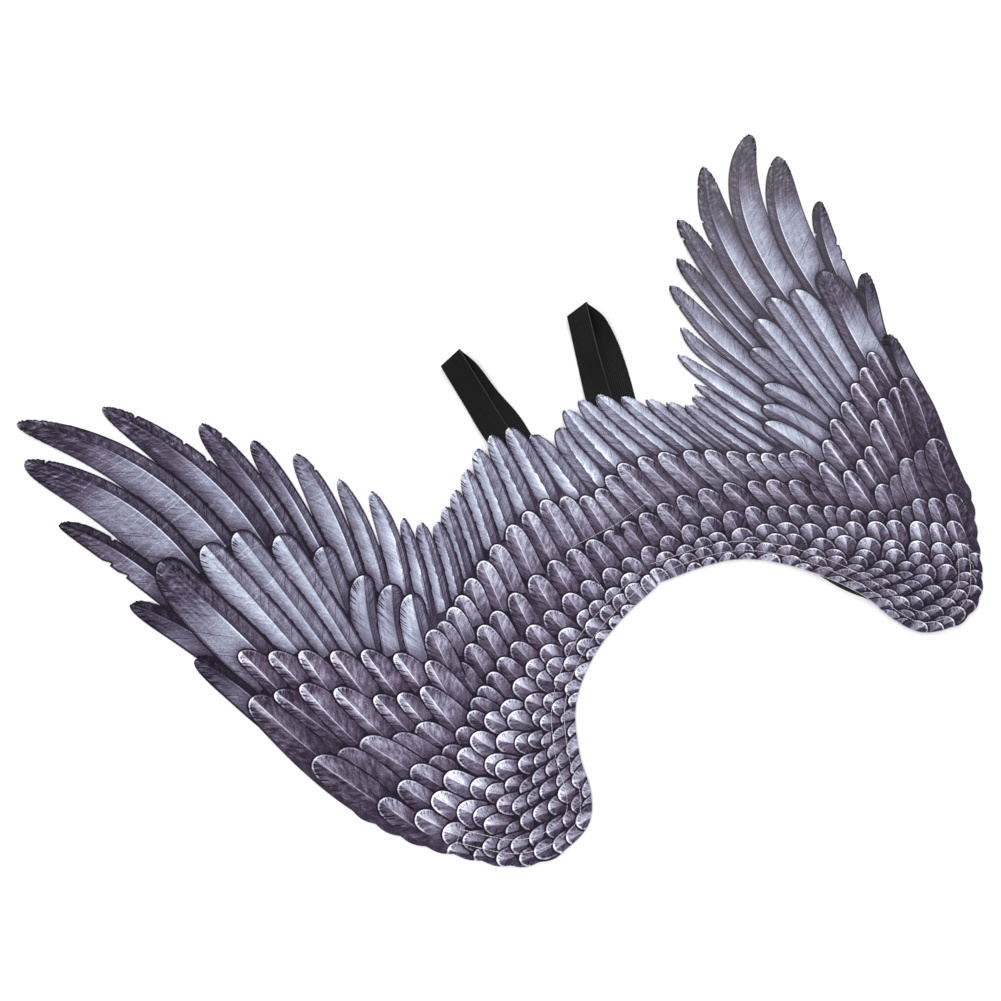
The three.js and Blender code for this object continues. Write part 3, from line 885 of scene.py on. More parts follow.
# %% Wing panels
def wing_panel(name, side, materials):
    """The closed sheet of one wing, with the feather coordinates stored on it."""
    places, height = cloth_height(flat, side)
    low = np.column_stack([places, height + curl])
    order = [0, 1, 2] if side > 0 else [2, 1, 0]
    panel, owners, first = closed_sheet(name, low + (0, 0, CLOTH), low, faces[:, order], materials)
    second = (first + 1) % 3

    def corners(values):
        values = values[:, order]
        on_rim = np.stack([values[owners, k] for k in (first, first, second, second)], 1)
        return np.concatenate([values.reshape(-1, 3), values[:, ::-1].reshape(-1, 3), on_rim.reshape(-1, 3)])

    def per_face(values):
        return np.concatenate([values, values, values[owners]])

    set_attribute(panel.data, "vane", "FLOAT_VECTOR", "CORNER", corners(corner_vane))
    set_attribute(panel.data, "plume", "FLOAT_VECTOR", "CORNER", corners(corner_plume))
    set_attribute(panel.data, "rim", "FLOAT_VECTOR", "CORNER", corners(corner_rim))
    set_attribute(panel.data, "kind", "FLOAT_VECTOR", "FACE", per_face(face_kind))
    set_attribute(panel.data, "sort", "FLOAT", "FACE", per_face(face_sort))
    set_attribute(panel.data, "bare", "FLOAT", "FACE", per_face((owner == BARE).astype(float)))
    return panel


# %% [markdown]
# ## Writing finishes as sums
# A finish is a tree of nodes, but it reads better as arithmetic. A Wire stands for one output socket, and
# adding or multiplying wires adds the Math nodes.

# %% Wires
class Wire:
    """One output socket of a finish, with arithmetic."""

    def __init__(self, finish, socket):
        self.finish = finish
        self.socket = socket

    def math(self, operation, *others):
        values = dict(enumerate((self, *others)))
        return self.finish.add("ShaderNodeMath", {"operation": operation}, values)

    def __add__(self, other):
        return self.math("ADD", other)

    def __radd__(self, other):
        return self.math("ADD", other)

    def __sub__(self, other):
        return self.math("SUBTRACT", other)

    def __rsub__(self, other):
        return (self * -1).math("ADD", other)

    def __mul__(self, other):
        return self.math("MULTIPLY", other)

    def __rmul__(self, other):
        return self.math("MULTIPLY", other)

    def __truediv__(self, other):
        return self.math("DIVIDE", other)

    def __abs__(self):
        return self.math("ABSOLUTE")

    def smooth(self, low, high):
        """0 below low and 1 above high, with an eased step between. Low may be the greater one."""
        sockets = {"Value": self, "From Min": min(low, high), "From Max": max(low, high)}
        if low > high:
            sockets.update({"To Min": 1.0, "To Max": 0.0})
        return self.finish.add("ShaderNodeMapRange", {"interpolation_type": "SMOOTHSTEP"}, sockets)

    def bell(self, width):
        """1 at zero, falling off over a width on both sides."""
        scaled = self / width
        return (scaled * scaled * -1).math("EXPONENT")

    def fade(self, reach):
        """1 at zero, falling off over a reach."""
        return (self / -reach).math("EXPONENT")


# %% [markdown]
# ## Finishes
# A Finish holds a material and its tree. One method adds a node of any kind. The short ones add what the
# cloth and the elastic need most: stored values, noise, irregular marks, mixed colours and bump.

# %% Finishes
class Finish:
    """A material whose tree is written as expressions."""

    def __init__(self, name, roughness, specular=0.5):
        self.material = bpy.data.materials.new(name)
        self.material.use_nodes = True
        self.tree = self.material.node_tree
        self.shader = self.tree.nodes["Principled BSDF"]
        self.shader.inputs["Roughness"].default_value = roughness
        self.shader.inputs["Specular IOR Level"].default_value = specular

    def add(self, kind, settings=None, sockets=None, output=0):
        """A node of any kind: its settings first, then the values or links of its sockets."""
        node = self.tree.nodes.new(kind)
        for name, value in (settings or {}).items():
            if name == "stops":
                self.set_stops(node.color_ramp, value)
            else:
                setattr(node, name, value)
        for name, value in (sockets or {}).items():
            self.feed(node.inputs[name], value)
        return Wire(self, node.outputs[output])

    def feed(self, socket, value):
        if isinstance(value, Wire):
            self.tree.links.new(value.socket, socket)
        else:
            socket.default_value = value

    @staticmethod
    def set_stops(ramp, stops):
        while len(ramp.elements) < len(stops):
            ramp.elements.new(1.0)
        for element, (place, color) in zip(ramp.elements, stops):
            element.position = place
            element.color = color

    def attribute(self, name, parts):
        """The parts of a stored vector, or one stored number, as wires."""
        output = "Vector" if parts > 1 else "Fac"
        stored = self.add("ShaderNodeAttribute", {"attribute_name": name}, output=output)
        return self.split(stored)[:parts] if parts > 1 else stored

    def split(self, vector):
        node = self.add("ShaderNodeSeparateXYZ", None, {0: vector}).socket.node
        return [Wire(self, socket) for socket in node.outputs]

    def join(self, x, y, z=0.0):
        return self.add("ShaderNodeCombineXYZ", None, {0: x, 1: y, 2: z})

    def place_mm(self):
        """Object coordinates in millimetres."""
        point = self.add("ShaderNodeTexCoord", output="Object")
        return self.add("ShaderNodeVectorMath", {"operation": "SCALE"}, {0: point, "Scale": 1 / MM})

    def noise(self, vector, scale, detail):
        """Noise about zero, from -0.5 to 0.5."""
        sockets = {"Vector": vector, "Scale": scale, "Detail": detail}
        return self.add("ShaderNodeTexNoise", None, sockets) - 0.5

    def cells(self, run):
        """Distance to the nearest of irregular marks along a line, about one to a unit."""
        return self.add("ShaderNodeTexVoronoi", {"voronoi_dimensions": "1D"}, {"W": run, "Scale": 1.0})

    def mix(self, share, first, second):
        """A colour between two colours."""
        return self.add("ShaderNodeMix", {"data_type": "RGBA"}, {0: share, 6: first, 7: second}, output=2)

    def color(self, share, first, second):
        """Base colour between two colours."""
        self.feed(self.shader.inputs["Base Color"], self.mix(share, first, second))

    def relief(self, height, distance, strength):
        """Bump from a height in units of distance, in metres."""
        sockets = {"Height": height, "Distance": distance, "Strength": strength}
        self.feed(self.shader.inputs["Normal"], self.add("ShaderNodeBump", None, sockets))


def screen(*levels):
    """An opaque screen colour, with levels from 0 to 255, as the shader's light values."""

    def light(level):
        share = level / 255
        return ((share + 0.055) / 1.055) ** 2.4 if level > 10 else share / 12.92

    return (*map(light, levels), 1.0)


print("finish helpers are ready")

# %% [markdown]
# ## The feather print
# The print is drawn in one ink tone, from plum black to bluish white, so the finish works out a tone
# from 0 to 1 and a ramp colours it. A wrapped picture of feathers could do this at one size only. Here
# each mark is a sum of what the mesh stored, so it stays sharp from near. First come the stored values
# and the noises that follow the barbs, which leave the shaft towards the tip.

# %% Spot on a feather
BARB_SLOPE = 1.1
SIDE_FADE = 30.0
SEAM_WOBBLE = 7.0
DARK_END = {"from": 0.46, "to": 0.84, "wander": 0.5, "leading": 0.4}


class Spot:
    """Where a point of the print lies on its feather, with the noises that follow the feather."""

    def __init__(self, f, place):
        self.across, self.from_tip, self.share = f.attribute("vane", 3)
        self.t, self.shade, self.tuck = f.attribute("plume", 3)
        self.edge, self.run = f.attribute("rim", 2)
        self.seed, self.detail, self.tone = f.attribute("kind", 3)
        self.bare = f.attribute("bare", 1)
        self.off_shaft = abs(self.across)
        self.set_kind(f, place)
        self.set_noises(f)

    def set_kind(self, f, place):
        """From 0 to 1, how far the point belongs to each kind of feather and to each side."""
        sort = f.attribute("sort", 1)
        self.is_long = sort.smooth(0.6, 0.4)
        self.is_scale = sort.smooth(1.4, 1.6)
        self.right = f.split(place)[0].smooth(-SIDE_FADE, SIDE_FADE)
        self.by_seam = self.detail.smooth(0.45, 0.26) * self.detail.smooth(0.15, 0.24) * self.is_long
        self.leading = self.tone.smooth(-0.02, -0.045) * self.is_long
        self.outer_row = self.detail.smooth(0.35, 0.27) * (1 - self.is_scale)
        self.turned = self.outer_row * self.right
        wobble = SEAM_WOBBLE * f.noise(f.join(self.from_tip, self.seed * 60), 0.11, 3.0)
        self.on_inner = (self.across + self.by_seam * wobble).smooth(-0.5, 0.5)

    def set_noises(self, f):
        """Noises along the barbs and along the shaft, and the dark end of a long feather."""
        barb = self.from_tip + BARB_SLOPE * self.off_shaft
        self.lane = self.seed * 400 + self.on_inner * 37
        self.fine = f.noise(f.join(barb, self.off_shaft * 0.12, self.lane), 0.5, 4.0)
        self.mottle = f.noise(f.join(barb * 0.6, self.off_shaft * 0.7, self.lane), 0.28, 6.0)
        self.streak = f.noise(f.join(self.from_tip * 0.06, self.across, self.lane), 0.35, 3.0)
        self.cloud = f.noise(f.join(self.from_tip, self.across, self.seed * 90), 0.03, 3.0)
        darkened = (self.t + DARK_END["wander"] * self.mottle).smooth(DARK_END["from"], DARK_END["to"])
        self.dark_end = self.detail * (1 - DARK_END["leading"] * self.leading) * darkened


def weighted(weights, **wires):
    """A base tone plus named wires, each with its weight from a table."""
    total = weights.get("base", 0.0)
    for name, wire in wires.items():
        total = total + weights[name] * wire
    return total


print("barb slope:", BARB_SLOPE)

# %% [markdown]
# ## Long feathers
# A flight feather has a dark inner vane, a light outer vane and a thin bright shaft with a dark rail
# beside it, and darkens to the tip. The weights say how much each of these adds to the tone.

# %% Long feathers
OUTER_VANE = {
    "base": 0.67, "dark_end": -0.44, "edge": -0.07, "tone": 0.9, "by_seam": 0.08, "bright_end": 0.25,
}
INNER_VANE = {"base": 0.49, "dark_end": -0.06, "detail": -0.2, "tone": -0.3, "leading": -0.1, "by_seam": 0.13}
LONG_MARKS = {
    "shaft": 0.5, "rail": -0.2, "fine": 0.32, "mottle": 0.3, "dark_mottle": 0.9,
    "streak": 0.2, "dark_streak": 0.6,
}
SHAFT_WIDTH = 0.6
RAIL = {"near": 1.5, "near_width": 0.7, "far": 3.6, "far_width": 0.6, "far_share": 0.6}


def long_feather(s):
    """Tone of a flight feather."""
    outer = weighted(OUTER_VANE, dark_end=s.dark_end, edge=abs(s.share), tone=s.tone, by_seam=s.by_seam,
                     bright_end=s.t.smooth(0.95, 1.0))
    inner = weighted(INNER_VANE, dark_end=s.dark_end, detail=s.detail, tone=s.tone, leading=s.leading,
                     by_seam=s.by_seam * s.t.smooth(0.45, 0.85))
    vane = outer + (inner - outer) * s.on_inner
    shaft = s.across.bell(SHAFT_WIDTH) * s.t.smooth(0.74, 0.45)
    shaft = shaft * (1 - 0.7 * s.by_seam) * (0.3 + 0.7 * s.detail.smooth(0.14, 0.22))
    near_rail = (s.across - RAIL["near"]).bell(RAIL["near_width"])
    far_rail = (s.across - RAIL["far"]).bell(RAIL["far_width"])
    rail = near_rail + RAIL["far_share"] * far_rail
    return vane + weighted(LONG_MARKS, shaft=shaft, rail=rail, fine=s.fine, mottle=s.mottle,
                           dark_mottle=s.dark_end * s.mottle, streak=s.streak,
                           dark_streak=s.dark_end * s.streak)


print("weights of a long feather:", len(OUTER_VANE) + len(INNER_VANE) + len(LONG_MARKS))

# %% [markdown]
# ## Coverts and scales
# The shorter feathers have a mottled vane and a bright fan that spreads from the shaft to the tip. It lies
# on the side of the seam, but on the other side in the outer rows, and along the shaft in those of the
# right wing. The fan of a scale is short and wide.

# %% Coverts and scales
FAN = {"reach": 42, "scale_less": 18, "least": 1.4, "spread": 0.55, "beam_width": 0.5, "beam_light": 1.1}
PATCH_TONE = {"from_tip": 36, "reach": 20, "dark_tip": 0.6}
SHORT_VANE = {
    "base": 0.41, "outer_row": -0.03, "scale": 0.03, "tip": 0.08, "inner": 0.05, "inner_scale": 0.05,
    "inner_patch": 0.12,
}
SHORT_MARKS = {
    "fan": 0.17, "scale_fan": 0.12, "outer_fan": 0.24, "shaft": 0.32, "scale_shaft": -0.192,
    "fine": 0.34, "mottle": 0.85, "streak": 0.2,
}


def bright_fan(s):
    """The light beside the shaft of a short feather, or along it in the turned rows."""
    lit = s.across * (1 - 2 * s.outer_row)
    reach = FAN["reach"] - FAN["scale_less"] * s.is_scale
    spread = FAN["least"] + s.detail * (reach - s.from_tip).math("MAXIMUM", 0.0) * FAN["spread"]
    fan = (lit / spread).smooth(1.9, 0.1) * (lit / (0.4 + 0.06 * spread)).smooth(-1.2, 0.2)
    beam = FAN["beam_light"] * (s.across / (FAN["beam_width"] * spread)).bell(1.0)
    return (fan + (beam - fan) * s.turned) * s.from_tip.smooth(75, 2)


def short_feather(s):
    """Tone of a covert or a scale."""
    patch = (s.from_tip - PATCH_TONE["from_tip"]).bell(PATCH_TONE["reach"])
    patch = patch - PATCH_TONE["dark_tip"] * s.from_tip.smooth(24, 8)
    vane = weighted(SHORT_VANE, outer_row=s.outer_row, scale=s.is_scale, tip=s.from_tip.fade(9),
                    inner=s.on_inner, inner_scale=s.is_scale * s.on_inner,
                    inner_patch=s.outer_row * patch * s.on_inner)
    fan = bright_fan(s)
    shaft = s.across.bell(0.5) * s.from_tip.smooth(6, 20)
    return vane + weighted(SHORT_MARKS, fan=fan, scale_fan=s.is_scale * fan, outer_fan=s.outer_row * fan,
                           shaft=shaft, scale_shaft=s.is_scale * shaft, fine=s.fine, mottle=s.mottle,
                           streak=s.streak * (1 - s.is_scale))


print("weights of a short feather:", len(SHORT_VANE) + len(SHORT_MARKS))

# %% [markdown]
# ## Rims, dashes and splits
# A white rim goes round the side of a tip that is away from the seam, or next to it in the outer rows of
# the right wing, with short dark dashes inside it. Farther down, the outer edge has notched barbs, and the
# vanes of long feathers split here and there. One-dimensional cells along the rim or the shaft place such
# marks unevenly, without a list of places.

# %% Rims, dashes and splits
RIM = {"inset": 0.9, "width": 0.75, "far_side": 0.72, "cap": 0.2}
DASH = {"pitch": 3.1, "reach": 3.4, "wander": 7.0, "seed": 50}
TOOTH = {"pitch": 7.0, "slant": 1.1, "seed": 31}
SPLIT = {"pitch": 30.0, "slant": 1.5, "wander": 5.0, "seed": 71, "side_seed": 9}
MARKS = {
    "rim": 0.44, "long_rim": -0.1, "dash": -0.34, "long_dash": 0.1, "tooth": -0.36, "long_tooth": -0.16,
    "split": -0.36,
}


def white_rim(s, near_tip):
    cap = s.from_tip.fade(3.5) * s.off_shaft.smooth(9, 2)
    far_side = (s.across * (1 - 2 * s.turned)).smooth(-1, 6)
    rim = (s.edge - RIM["inset"]).bell(RIM["width"]) * near_tip
    return rim * (1 - RIM["far_side"] * far_side) + RIM["cap"] * cap


def rim_dashes(f, s, near_tip):
    """Short dark lines inside the rim."""
    to_dash = f.cells(s.run / DASH["pitch"] + s.seed * DASH["seed"]) * DASH["pitch"]
    reach = DASH["reach"] + DASH["wander"] * f.noise(f.join(s.run, s.lane), 0.3, 1.0)
    dash = to_dash.smooth(0.9, 0.3) * (s.edge / reach).smooth(1.4, 0.6)
    return dash * s.edge.smooth(0.7, 1.5) * near_tip


def edge_teeth(f, s):
    """Notched barbs along the outer edge."""
    slanted = s.run + s.edge * TOOTH["slant"]
    to_tooth = f.cells(slanted / TOOTH["pitch"] + s.seed * TOOTH["seed"]) * TOOTH["pitch"]
    tooth = to_tooth.smooth(1.2, 0.5) * s.edge.smooth(7.5, 4.0) * (1 - s.on_inner)
    where = s.from_tip.smooth(46, 22) * s.from_tip.smooth(4, 9)
    return tooth * where * (1 - s.is_scale) * (1 - s.turned)


def vane_splits(f, s):
    """Hair lines across the vanes of long feathers."""
    hair = s.from_tip + SPLIT["slant"] * s.off_shaft + SPLIT["wander"] * s.mottle
    lane = s.seed * SPLIT["seed"] + s.on_inner * SPLIT["side_seed"]
    to_split = f.cells(hair / SPLIT["pitch"] + lane) * SPLIT["pitch"]
    return to_split.smooth(0.75, 0.25) * abs(s.share).smooth(0.15, 0.5) * s.is_long


def feather_marks(f, s):
    near_tip = s.from_tip.smooth(22, 7)
    rim = white_rim(s, near_tip)
    dash = rim_dashes(f, s, near_tip)
    tooth = edge_teeth(f, s)
    return weighted(MARKS, rim=rim, long_rim=s.is_long * rim, dash=dash, long_dash=s.is_long * dash,
                    tooth=tooth, long_tooth=s.is_long * tooth, split=vane_splits(f, s))


print("kinds of marks:", len(MARKS))

# %% [markdown]
# ## The whole print
# The tones of the two kinds are added up with the marks. Then everything darkens where it is tucked under
# other feathers and along the outline of a long one. In the photo the two wings differ a little in tone,
# partly in the print and partly as painted sheen and shade from how the light falls on each wing, and a
# small table of steps follows that.

# %% Whole print
# Partly print and partly painted sheen and shade: the right wing's long feathers a little lighter, the left
# primaries darker.
SIDE_TONE_AND_SHEEN = {
    "right_short": -0.04, "right_long": 0.015, "right_scale": -0.02,
    "left_scale": 0.03, "left_primary": -0.07,
}
CLOUD = 0.22
SHADE = {"tuck": 1.0, "near": 0.78, "near_scale": -0.12}
OUTLINE = {"base": 0.35, "inner": 0.6, "leading": 0.45}
BARE_CLOTH = {"base": 0.2, "uneven": 0.5}


def side_tone_and_sheen(s):
    """The small differences in tone between the two wings, partly print and partly painted sheen and shade.
    """
    left = 1 - s.right
    primary = s.is_long * s.detail.smooth(0.6, 0.9) * (1 - s.on_inner) * (1 - s.dark_end)
    return weighted(SIDE_TONE_AND_SHEEN, right_short=s.right * (1 - s.is_long), right_long=s.right * s.is_long,
                    right_scale=s.right * s.is_scale, left_scale=left * s.is_scale,
                    left_primary=left * primary)


def outline_shade(s):
    """The dark line inside the edge of a long feather, weaker by the seam."""
    line = weighted(OUTLINE, inner=s.on_inner, leading=s.leading * (1 - s.on_inner))
    return s.edge.smooth(2.2, 1.2) * s.is_long * line * (0.55 + 0.45 * s.detail.smooth(0.2, 0.5))


def print_tone(f, s, place):
    """Tone of the print from 0 to 1, from where a point lies on its feather."""
    value = long_feather(s) * s.is_long + short_feather(s) * (1 - s.is_long)
    value = value + s.tone + CLOUD * s.cloud + side_tone_and_sheen(s) + feather_marks(f, s)
    under = weighted(SHADE, tuck=s.tuck.smooth(2.5, 1.6), near=s.shade, near_scale=s.is_scale * s.shade)
    value = value * (1 - under).math("MAXIMUM", 0.0) * (1 - outline_shade(s))
    bare_tone = weighted(BARE_CLOTH, uneven=f.noise(place, 0.12, 5.0))
    return value * (1 - s.bare) + bare_tone * s.bare


print("steps of tone between the wings:", len(SIDE_TONE_AND_SHEEN))

# %% [markdown]
# ## Folds, seam and weave
# The cloth was folded in its packet, so faint folds cross the long feathers, each with a bump and a painted
# highlight. Down the middle runs a painted shadow line in the seam, with a dark spot where no printed
# feather covers it. Close up, a plain weave shows. None of these follows the feathers, so they are worked
# out from the place on the cloth.

# %% Folds, seam and weave
CREASE = {"direction": (0.27, 0.96), "spacing": 10.0, "warp": 44, "from_x": 170, "to_x": 290, "right": 0.6}
SEAM_SHADOW = {"width": 1.3, "dark": 0.85}
SEAM_GAP_SPOT = {"y": -173, "wide": 8.0, "tall": 9.0, "dark": 0.8}
WEAVE = 0.8


def creases(f, place):
    """Fold lines of the cloth across the feathers, strongest over the long ones of the left wing."""
    x, y, _ = f.split(place)
    warp = f.noise(f.join(x, y), 0.014, 5.0)
    out = abs(x)
    run = out * CREASE["direction"][0] + y * CREASE["direction"][1] + warp * CREASE["warp"]
    near = f.cells(run / CREASE["spacing"]) * CREASE["spacing"]
    patchy = f.noise(f.join(x, y, 40.0), 0.03, 3.0).smooth(-0.16, 0.16)
    where = out.smooth(CREASE["from_x"], CREASE["to_x"]) * y.smooth(-120, 110)
    return near.smooth(1.1, 0.15) * patchy * where * (1 - CREASE["right"] * x.smooth(-50, 50))


def seam_shade(f, place):
    """Painted shadow down the centre seam, and the dark spot where the print has no feather over it."""
    x, y, _ = f.split(place)
    across = x - pattern_origin.x / MM
    along = y - (SEAM_GAP_SPOT["y"] + pattern_origin.y / MM)
    # Painted shadow down the seam.
    line = SEAM_SHADOW["dark"] * across.bell(SEAM_SHADOW["width"])
    spread = abs(across) / SEAM_GAP_SPOT["wide"] + abs(along) / SEAM_GAP_SPOT["tall"]
    spot = SEAM_GAP_SPOT["dark"] * spread.smooth(1.0, 0.75)
    return (1 - line) * (1 - spot)


def weave_height(f, place):
    """Threads of a plain weave."""
    x, y, _ = f.split(place)
    warp_thread = (x * (math.pi / WEAVE)).math("SINE")
    weft_thread = (y * (math.pi / WEAVE)).math("SINE")
    return warp_thread * weft_thread


print("threads of the weave, mm apart:", WEAVE)

# %% [markdown]
# ## Cloth finishes
# The printed face is matt with a slight sheen from the press. The back is the plain cloth, paler, with the
# print showing through, so it uses the same tone between two pale colours.

# %% Cloth finishes
INK = (
    (0.0, screen(20, 13, 25)), (0.22, screen(56, 44, 63)), (0.42, screen(97, 86, 107)),
    (0.6, screen(141, 138, 160)), (0.78, screen(184, 187, 207)), (1.0, screen(246, 246, 250)),
)
LONG_TINT = 0.07
GRAIN = 0.4
CREASE_HIGHLIGHT = 0.15
WEAVE_SHARE = 0.25


def printed_cloth():
    f = Finish("printed_cloth", roughness=0.39, specular=0.14)
    place = f.place_mm()
    spot = Spot(f, place)
    crease = creases(f, place)
    # The folds get a painted highlight along each.
    value = print_tone(f, spot, place) * seam_shade(f, place) + CREASE_HIGHLIGHT * crease
    value = value + GRAIN * f.noise(place, 0.8, 3.0)
    ink = f.add("ShaderNodeValToRGB", {"stops": INK}, {0: value})
    cool = 1 - LONG_TINT * spot.is_long
    tinted = f.add("ShaderNodeVectorMath", {"operation": "MULTIPLY"}, {0: ink, 1: f.join(cool, 1.0, 1.0)})
    f.feed(f.shader.inputs["Base Color"], tinted)
    f.relief(WEAVE_SHARE * weave_height(f, place) + crease, distance=0.0003, strength=0.5)
    return f.material


def cloth_back():
    """The unprinted back, where the print shows through faintly."""
    f = Finish("cloth_back", roughness=0.9, specular=0.2)
    place = f.place_mm()
    value = print_tone(f, Spot(f, place), place).math("MAXIMUM", 0.0).math("MINIMUM", 1.0)
    f.color(value, screen(150, 147, 158), screen(206, 205, 212))
    f.relief(weave_height(f, place), distance=0.0002, strength=0.4)
    return f.material


cloth_finishes = [printed_cloth(), cloth_back()]
left_wing = wing_panel("left_wing_cloth", -1, cloth_finishes)
right_wing = wing_panel("right_wing_cloth", 1, cloth_finishes)

# %% [markdown]
# ## Trees that make what repeats
# Ribs and stitches repeat along a path, so Geometry Nodes make them. A small helper adds a node with its
# settings and sockets. Another runs a tree on a piece, with each input set by its identifier, and keeps
# the result as a plain mesh, because the modifier must be gone before the piece joins the frame.

# %% Tree helpers
class Growth:
    """A Geometry Nodes tree with named inputs."""

    def __init__(self, name, inputs):
        self.tree = bpy.data.node_groups.new(name, "GeometryNodeTree")
        self.tree.interface.new_socket("Geometry", in_out="OUTPUT", socket_type="NodeSocketGeometry")
        for label, kind in inputs.items():
            self.tree.interface.new_socket(label, in_out="INPUT", socket_type=kind)
        self.inputs = self.tree.nodes.new("NodeGroupInput").outputs

    def add(self, kind, settings=None, sockets=None, output=0):
        node = self.tree.nodes.new(kind)
        for name, value in (settings or {}).items():
            setattr(node, name, value)
        for name, value in (sockets or {}).items():
            if isinstance(value, bpy.types.NodeSocket):
                self.tree.links.new(value, node.inputs[name])
            else:
                node.inputs[name].default_value = value
        return node.outputs[output]

    def math(self, operation, *values):
        return self.add("ShaderNodeMath", {"operation": operation}, dict(enumerate(values)))

    def end(self, geometry):
        """Realize what the tree made and give it the finish."""
        real = self.add("GeometryNodeRealizeInstances", None, {0: geometry})
        done = self.add("GeometryNodeSetMaterial", None, {0: real, "Material": self.inputs["Material"]})
        self.tree.links.new(done, self.tree.nodes.new("NodeGroupOutput").inputs[0])

    def run(self, piece, values):
        modifier = piece.modifiers.new(self.tree.name, "NODES")
        modifier.node_group = self.tree
        for item in self.tree.interface.items_tree:
            if item.in_out == "INPUT" and item.name in values:
                modifier[item.identifier] = values[item.name]
        graph = bpy.context.evaluated_depsgraph_get()
        mesh = bpy.data.meshes.new_from_object(
            piece.evaluated_get(graph), preserve_all_data_layers=True, depsgraph=graph)
        piece.modifiers.remove(modifier)
        piece.data = mesh
        mesh.name = piece.name
        print(piece.name, "faces:", len(mesh.polygons))
        return piece


# %% [markdown]
# ## Elastic arm loops
# Each loop is one ribbon of black woven elastic. Its upper leg comes out from under the cloth, folds
# back at the far end and runs in again below, leaning on one edge so that the loop stands a little open.
# A table gives the two edges of the ribbon, a and b, at each station of the two legs.

# %% Loop edges
EDGES = "ax ay az bx by bz"
STRAPS = {
    "strap_left": {
        "upper": table(
            EDGES,
            (-56, -198, 3.4, -26, -198, 3.4), (-58, -100, 3.4, -28, -100, 3.4),
            (-60.2, 5, 2.2, -29.8, 8, 3.4), (-56.4, 58, 0.9, -29.8, 57.5, 13),
            (-53.2, 116, 3.6, -28.7, 115, 20.6),
        ),
        "lower": table(
            EDGES,
            (-46.8, 96, 0.9, -19, 95.4, 12), (-44.6, 54, 0.8, -14.9, 53.5, 4),
            (-40.5, 14, 0.8, -10.5, 14, 1), (-42.5, -21, 0.8, -12.5, -21, 0.8),
            (-48, -110, 0.8, -18, -110, 0.8), (-50, -148, 1.9, -20, -148, 1.9),
            (-52, -198, 1.9, -22, -198, 1.9),
        ),
    },
    "strap_right": {
        "upper": table(
            EDGES,
            (1.8, -190.2, 3.4, 30.2, -199.8, 3.4), (31.9, -99.9, 3.4, 60.1, -110.1, 3.4),
            (66.4, 0.5, 2.2, 94.2, -10, 3), (86, 47.5, 0.9, 107.6, 38.5, 18.5),
            (111.2, 110.5, 4, 133.8, 105.2, 22),
        ),
        "lower": table(
            EDGES,
            (118, 91.7, 0.9, 144, 85, 14), (115, 65.2, 0.8, 143.2, 56.6, 6),
            (103.8, 24.9, 0.8, 131.7, 14, 1.5), (81.1, -33.6, 0.8, 109, -44.5, 0.8),
            (52, -106.5, 0.8, 80, -117.5, 0.8), (37, -143, 1.9, 65, -154, 1.9),
            (24, -184.5, 1.9, 52, -195.5, 1.9),
        ),
    },
}


print("stations of the loops:", {node: sum(map(len, legs.values())) for node, legs in STRAPS.items()})

# %% [markdown]
# ## Ribbons between the edges
# Splines run through the edges, with a half-round fold between the legs, and a fine closed sheet lies
# between them. It stores how far across and along the elastic each point lies. The lower leg also stores
# how far inside the loop it lies, for the shade that the finish paints there, where little light gets in.

# %% Loop ribbons
ELASTIC = 1.2
ELASTIC_WIDTH = 30.0
FOLD = {"radius": 1.6, "steps": 6}
LOFT_STEPS = 10
ACROSS_STEPS = 96
LOOP_SHADE_REACH = 8.0


def unit(vector):
    return vector / np.linalg.norm(vector)


def strap_sections(legs):
    """The two edges of a loop: its upper leg, a half-round fold at the far end and its lower leg.

    Also the number of stations in the upper leg.
    """
    upper, lower = (
        np.array([list(row.values()) for row in legs[leg]]).reshape(-1, 2, 3) for leg in ("upper", "lower")
    )
    across = unit(upper[-1, 1] - upper[-1, 0])
    face = unit(np.cross(across, unit(upper[-1, 0] - upper[-2, 0])))
    along = np.cross(face, across)
    turns = np.pi * (np.arange(FOLD["steps"]) + 1) / FOLD["steps"]
    fold = [upper[-1] + FOLD["radius"] * (np.sin(turn) * along + (np.cos(turn) - 1) * face) for turn in turns]
    return np.concatenate([upper, fold, lower]), len(upper)


def strap_ribbon(name, legs, material):
    """A fine closed ribbon that stores how far across and along the elastic each point lies."""
    sections, upper_count = strap_sections(legs)
    shares = np.linspace(0, 1, (len(sections) - 1) * LOFT_STEPS + 1)
    a, b = spline(sections[:, 0], shares), spline(sections[:, 1], shares)
    along = np.gradient((a + b) / 2, axis=0)
    face = np.cross(b - a, along)
    face *= ELASTIC / 2 / np.linalg.norm(face, axis=1)[:, None]
    u = np.linspace(0, 1, ACROSS_STEPS + 1)
    centre = a[:, None] + (b - a)[:, None] * u[None, :, None]
    high, low = ((centre + turn * face[:, None]).reshape(-1, 3) for turn in (1, -1))
    ribbon, *_ = closed_sheet(name, high, low, grid_faces(len(shares), len(u)), [material])
    run = np.concatenate([[0], np.cumsum(np.linalg.norm(np.diff((a + b) / 2, axis=0), axis=1))])
    across_mm = np.tile(np.tile(u * ELASTIC_WIDTH, len(shares)), 2)
    along_mm = np.tile(np.repeat(run, len(u)), 2)
    set_attribute(ribbon.data, "across", "FLOAT", "POINT", across_mm)
    set_attribute(ribbon.data, "along", "FLOAT", "POINT", along_mm)
    # Painted shade inside the loop: the lower leg darkens near the edge of the upper leg.
    upper_end = (upper_count - 1) * LOFT_STEPS
    gap = np.linalg.norm(centre[:, :, None] - b[None, None, :upper_end], axis=3).min(axis=2)
    loop_shading = np.where(np.arange(len(shares))[:, None] > upper_end, np.exp(-gap / LOOP_SHADE_REACH), 0)
    set_attribute(ribbon.data, "inside", "FLOAT", "POINT", np.tile(loop_shading.ravel(), 2))
    return ribbon, run[-1]
